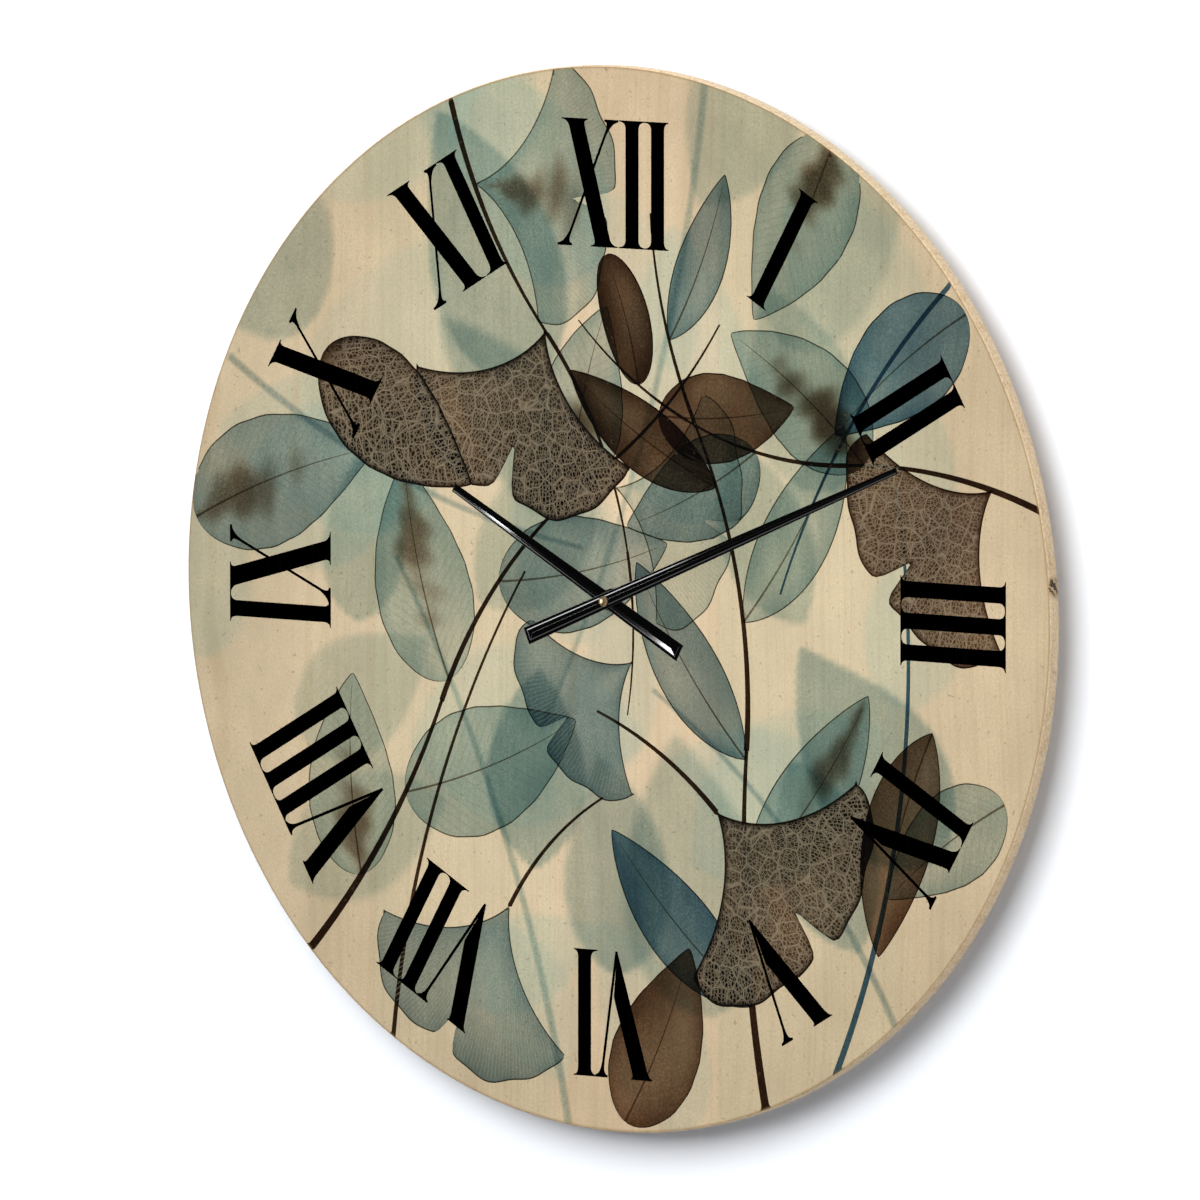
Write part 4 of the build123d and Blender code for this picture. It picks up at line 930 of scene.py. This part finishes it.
# ---- Hands ----
# Hour and minute hands: aluminium sheet pressed to a roof along the middle, with flat borders
# and square ends, then dipped in gloss black lacquer. It rounds every fold a little, so that each
# carries a thin line of light, and only dust and a faint waviness break its mirror.
lacquer, tree, place = new_material("gloss_black_lacquer")
flow = add(tree, "TexNoise", Vector=place, Scale=90.0, Detail=2.0)
dust = add(tree, "TexNoise", Vector=place, Scale=1400.0, Detail=2.0)
dusty = add(tree, "MapRange", Value=dust, From_Min=0.64, From_Max=0.8)
black = add(tree, "Mix", dusty, linear("#020202"), linear("#141416"), data_type="RGBA")
gloss = add(tree, "MapRange", Value=flow, To_Min=0.05, To_Max=0.07)
bump = add(tree, "Bump", Strength=0.02, Distance=0.0001, Height=flow)
add(tree, "OutputMaterial", Surface=add(tree, "BsdfPrincipled", Base_Color=black,
    Roughness=gloss, Specular_IOR_Level=0.8, Normal=bump))

# Each rounding, the angles of the folds that take it, and how level the faces beside them are
# (the y of their normals): the sheet's edges, the foot of the roof, then its ridge and hips.
ROUNDINGS = ((0.00015, (60, 100), (-1.1, 0.1)), (0.00035, (15, 28), (-1.1, -0.85)),
             (0.00010, (28, 55), (-0.99, -0.85)))
BORDER_AREA, SHORTEST_SIDE, SHORTEST_FOLD, LEVEL = 5e-5, 0.003, 0.0012, -0.999
for node_name, body in (("hour_hand", "hour"), ("minute_hand", "minute")):
    sheet = bmesh.new()
    sheet.from_mesh(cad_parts[node_name].data)
    bmesh.ops.remove_doubles(sheet, verts=sheet.verts, dist=1e-6)
    bmesh.ops.dissolve_limit(sheet, angle_limit=math.radians(0.5), verts=sheet.verts,
                             edges=sheet.edges)
    # The flat border is cut along its four mitres, so that the folds round evenly into them.
    border = [face for face in sheet.faces
              if face.normal.y < LEVEL and face.calc_area() > BORDER_AREA]
    outer = {vert for face in border for edge in face.edges for vert in edge.verts
             if edge.calc_length() > SHORTEST_SIDE
             and any(abs(beside.normal.y) < 0.1 for beside in edge.link_faces)}
    inner = {vert for face in border for vert in face.verts} - outer
    mitres = []
    for corner in sorted(outer, key=lambda vert: vert.co[:]):
        foot = min(inner, key=lambda vert: (vert.co - corner.co).length)
        if not any(foot in edge.verts for edge in corner.link_edges):
            shared = next(face for face in corner.link_faces
                          if foot in face.verts and face.normal.y < LEVEL)
            bmesh.utils.face_split(shared, corner, foot)
        mitres += [edge for edge in corner.link_edges if foot in edge.verts]
    bmesh.ops.dissolve_edges(sheet, edges=[
        edge for edge in sheet.edges if edge not in mitres and len(edge.link_faces) == 2
        and all(face.normal.y < LEVEL for face in edge.link_faces)
        and edge.calc_face_angle() < 0.01])
    for rounding, (flattest, sharpest), (lowest, highest) in ROUNDINGS:
        folds = [edge for edge in sheet.edges if len(edge.link_faces) == 2
                 and edge.calc_length() > SHORTEST_FOLD
                 and flattest < math.degrees(edge.calc_face_angle()) < sharpest
                 and all(lowest < face.normal.y < highest for face in edge.link_faces)]
        bmesh.ops.bevel(sheet, geom=folds, offset=rounding, segments=4, profile=0.5,
                        affect="EDGES", clamp_overlap=False)
    bmesh.ops.triangulate(sheet, faces=sheet.faces)
    # Rounding leaves the faces in any order; they are put in a fixed one.
    for rank, face in enumerate(sorted(sheet.faces, key=lambda f: f.calc_center_median()[:])):
        face.index = rank
    sheet.faces.sort()
    pressed = bpy.data.meshes.new("lacquered_" + node_name)
    sheet.to_mesh(pressed)
    sheet.free()
    pressed.materials.append(lacquer)
    hand = stand("lacquered_" + node_name, pressed)
    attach(hand, body)
    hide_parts(node_name)

# ---- Cap nut ----
# The small domed nut that holds the minute hand: brass, turned and polished. The cutter has
# left fine rings round it, which draw the light out into a soft glow.
dress(["cap_nut"], metal("polished_brass", "#dcc19b", 0.36, 0.1, (1, 10, 1), "#94784f", 0.2))

# ---- Stage ----
# What stands round the clock and is no part of it: a white wall 0.1 mm behind the case, large
# soft lamps at a plain level, small ones for the gloss of the hands, and an even pale room.
WALL_HALF, WALL_GAP = 4.0, 0.0001
wall_mesh = bpy.data.meshes.new("wall")
wall_mesh.from_pydata([(side * WALL_HALF, cad_high[1] + WALL_GAP, level * WALL_HALF)
                       for side, level in ((-1, -1), (1, -1), (1, 1), (-1, 1))],
                      [], [(0, 1, 2, 3)])
wall = stand("wall", wall_mesh)


def ray_kinds(tree):
    """The Light Path's outputs, and a value that is 1 for rays in gloss or through glass."""
    rays = add(tree, "LightPath").outputs
    return rays, add(tree, "Math", rays["Is Glossy Ray"], rays["Is Transmission Ray"],
        operation="MAXIMUM")


# Matt emulsion paint, white to the eye; it has one painted side, so that light and view come
# through it to the clock from behind.
paint, tree, place = new_material("matt_white_wall_paint")
roller = add(tree, "TexNoise", Vector=place, Scale=350.0, Detail=3.0)
stipple = add(tree, "Bump", Strength=0.05, Distance=0.0001, Height=roller)
white = add(tree, "BsdfPrincipled", Base_Color=linear("#f8fbff"), Roughness=0.95,
    Specular_IOR_Level=0.0, Normal=stipple)
rays, mirrored = ray_kinds(tree)
seen = add(tree, "Math", rays["Is Camera Ray"], mirrored, operation="MAXIMUM")
glow = add(tree, "Emission", Color=linear("#e8f0ff"),
    Strength=add(tree, "Math", seen, 0.14, operation="MULTIPLY"))
lit = add(tree, "AddShader", white, glow)
direct = add(tree, "Math", rays["Diffuse Depth"], 0.5, operation="LESS_THAN")
from_behind = add(tree, "Math", add(tree, "NewGeometry").outputs["Backfacing"],
    add(tree, "Math", rays["Is Shadow Ray"], direct, operation="MULTIPLY"), operation="MAXIMUM")
one_sided = add(tree, "MixShader", from_behind, lit, add(tree, "BsdfTransparent"))
add(tree, "OutputMaterial", Surface=one_sided)
wall_mesh.materials.append(paint)


def softbox(name, target, direction, distance, size, watts, along=(1.0, 0.0, 0.0)):
    """Rectangular area lamp that faces the target, its long side along a given line."""
    light = bpy.data.lights.new(name, "AREA")
    light.shape, light.energy = "RECTANGLE", watts
    light.size, light.size_y = size
    lamp = stand(name, light)
    back = Vector(direction).normalized()
    side = (Vector(along) - back * back.dot(Vector(along))).normalized()
    lamp.matrix_world = Matrix((side, back.cross(side), back)).transposed().to_4x4()
    lamp.location = Vector(target) + back * distance
    lamp.visible_camera = False
    return lamp


hub = (0.0, face_y, disc_centre_z)
key = softbox("key_softbox", hub, (0.0, -0.9, 0.47), 4.5, (4.6, 3.5), 276.0)
key.visible_glossy = False
# The thin hands leave no mark on the dial in light this soft, so the key passes them by.
shadowless = bpy.data.collections.new("hands_without_key_shadow")
for hand_name in ("lacquered_hour_hand", "lacquered_minute_hand"):
    shadowless.objects.link(bpy.data.objects[hand_name])
for member in shadowless.collection_objects:
    member.light_linking.link_state = "EXCLUDE"
key.light_linking.blocker_collection = shadowless
softbox("back_softbox", hub, (-0.4, 0.9, 0.15), 4.5, (3.2, 3.2), 90.0)
# Lamps seen only in gloss draw thin lines of light along the folds of the lacquered hands, and
# a short bright patch near each end of the hour hand. Each is aimed at a point right and up of
# the spindle, and its long side lies along a hand.
minute_along, hour_along = (0.9225, 0.0, 0.3859), (-0.8805, 0.0, 0.4741)
upper, lower, edge_on, flat_on = ((-0.705, -0.686, 0.181), (-0.465, -0.793, -0.392),
                                  (-0.723, -0.599, -0.344), (-0.809, -0.302, -0.504))
for name, (right, up), direction, distance, size, watts, along in (
        ("upper_fold_strip", (-0.028, -0.0116), upper, 1.0, (0.16, 0.3), 1.4, minute_along),
        ("lower_fold_strip", (0.0, 0.0), lower, 2.5, (1.2, 0.8), 3.0, minute_along),
        ("border_strip", (0.0, 0.0), edge_on, 2.5, (0.9, 0.6), 8.0, hour_along),
        ("tail_lamp", (0.051, -0.0275), flat_on, 1.0, (0.025, 0.05), 0.10, hour_along),
        ("tip_lamp", (-0.084, 0.045), flat_on, 1.0, (0.015, 0.04), 0.04, hour_along)):
    target = (right, face_y, disc_centre_z + up)
    strip = softbox(name, target, direction, distance, size, watts, along)
    strip.visible_diffuse = False
# The dome of the cap nut shows a soft lamp of its own, which the flat hands would mirror.
dome_lamp = softbox("dome_lamp", hub, (-0.56, -0.81, 0.14), 1.5, (1.6, 1.4), 12.0)
dome_only = bpy.data.collections.new("lit_by_dome_lamp")
dome_only.objects.link(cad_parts["cap_nut"])
dome_lamp.light_linking.receiver_collection = dome_only

# The room: even pale light, dimmer to the front left, where the flat faces of the hands look.
# The camera sees it white, as gloss and glass do behind the clock, where the backdrop is.
world = bpy.data.worlds.new("pale_studio")
bpy.context.scene.world = world
world.use_nodes = True
tree = world.node_tree
tree.nodes.clear()
direction = add(tree, "TexCoord").outputs["Generated"]
facing = add(tree, "VectorMath", direction, (-0.589, -0.802, -0.096),
    operation="DOT_PRODUCT").outputs["Value"]
room_level = add(tree, "MapRange", interpolation_type="SMOOTHSTEP", Value=facing, From_Min=0.1,
    From_Max=0.56, To_Min=0.31, To_Max=0.02)
room = add(tree, "Background", Color=linear("#ffffff"), Strength=room_level)
backdrop = add(tree, "Background", Color=linear("#ffffff"), Strength=1.0)
rays, mirrored = ray_kinds(tree)
behind = add(tree, "Math", add(tree, "SeparateXYZ", direction).outputs["Y"], 0.0,
    operation="GREATER_THAN")
mirrored = add(tree, "Math", behind, mirrored, operation="MULTIPLY")
seen = add(tree, "Math", rays["Is Camera Ray"], mirrored, operation="MAXIMUM")
add(tree, "OutputWorld", Surface=add(tree, "MixShader", seen, room, backdrop))

# ---- Camera ----
# Seen from the right and a little above, through a long lens, whose field is as wide at the
# dial as the value below, in metres.
azimuth, elevation, distance = math.radians(36.3), math.radians(5.5), 11.7
FIELD_WIDTH, SENSOR_WIDTH = 0.6545, 36.0
camera_data = bpy.data.cameras.new("camera")
camera = stand("camera", camera_data)
away = Vector((math.sin(azimuth) * math.cos(elevation), -math.cos(azimuth) * math.cos(elevation),
               math.sin(elevation)))
camera.location = Vector(hub) + away * distance
camera.rotation_euler = away.to_track_quat("Z", "Y").to_euler()
camera_data.sensor_width = SENSOR_WIDTH
camera_data.lens = SENSOR_WIDTH * distance / FIELD_WIDTH
camera_data.shift_x = -0.0108
camera_data.clip_start, camera_data.clip_end = 0.5, 60.0
bpy.context.scene.camera = camera
bpy.context.scene.view_settings.view_transform = "Standard"
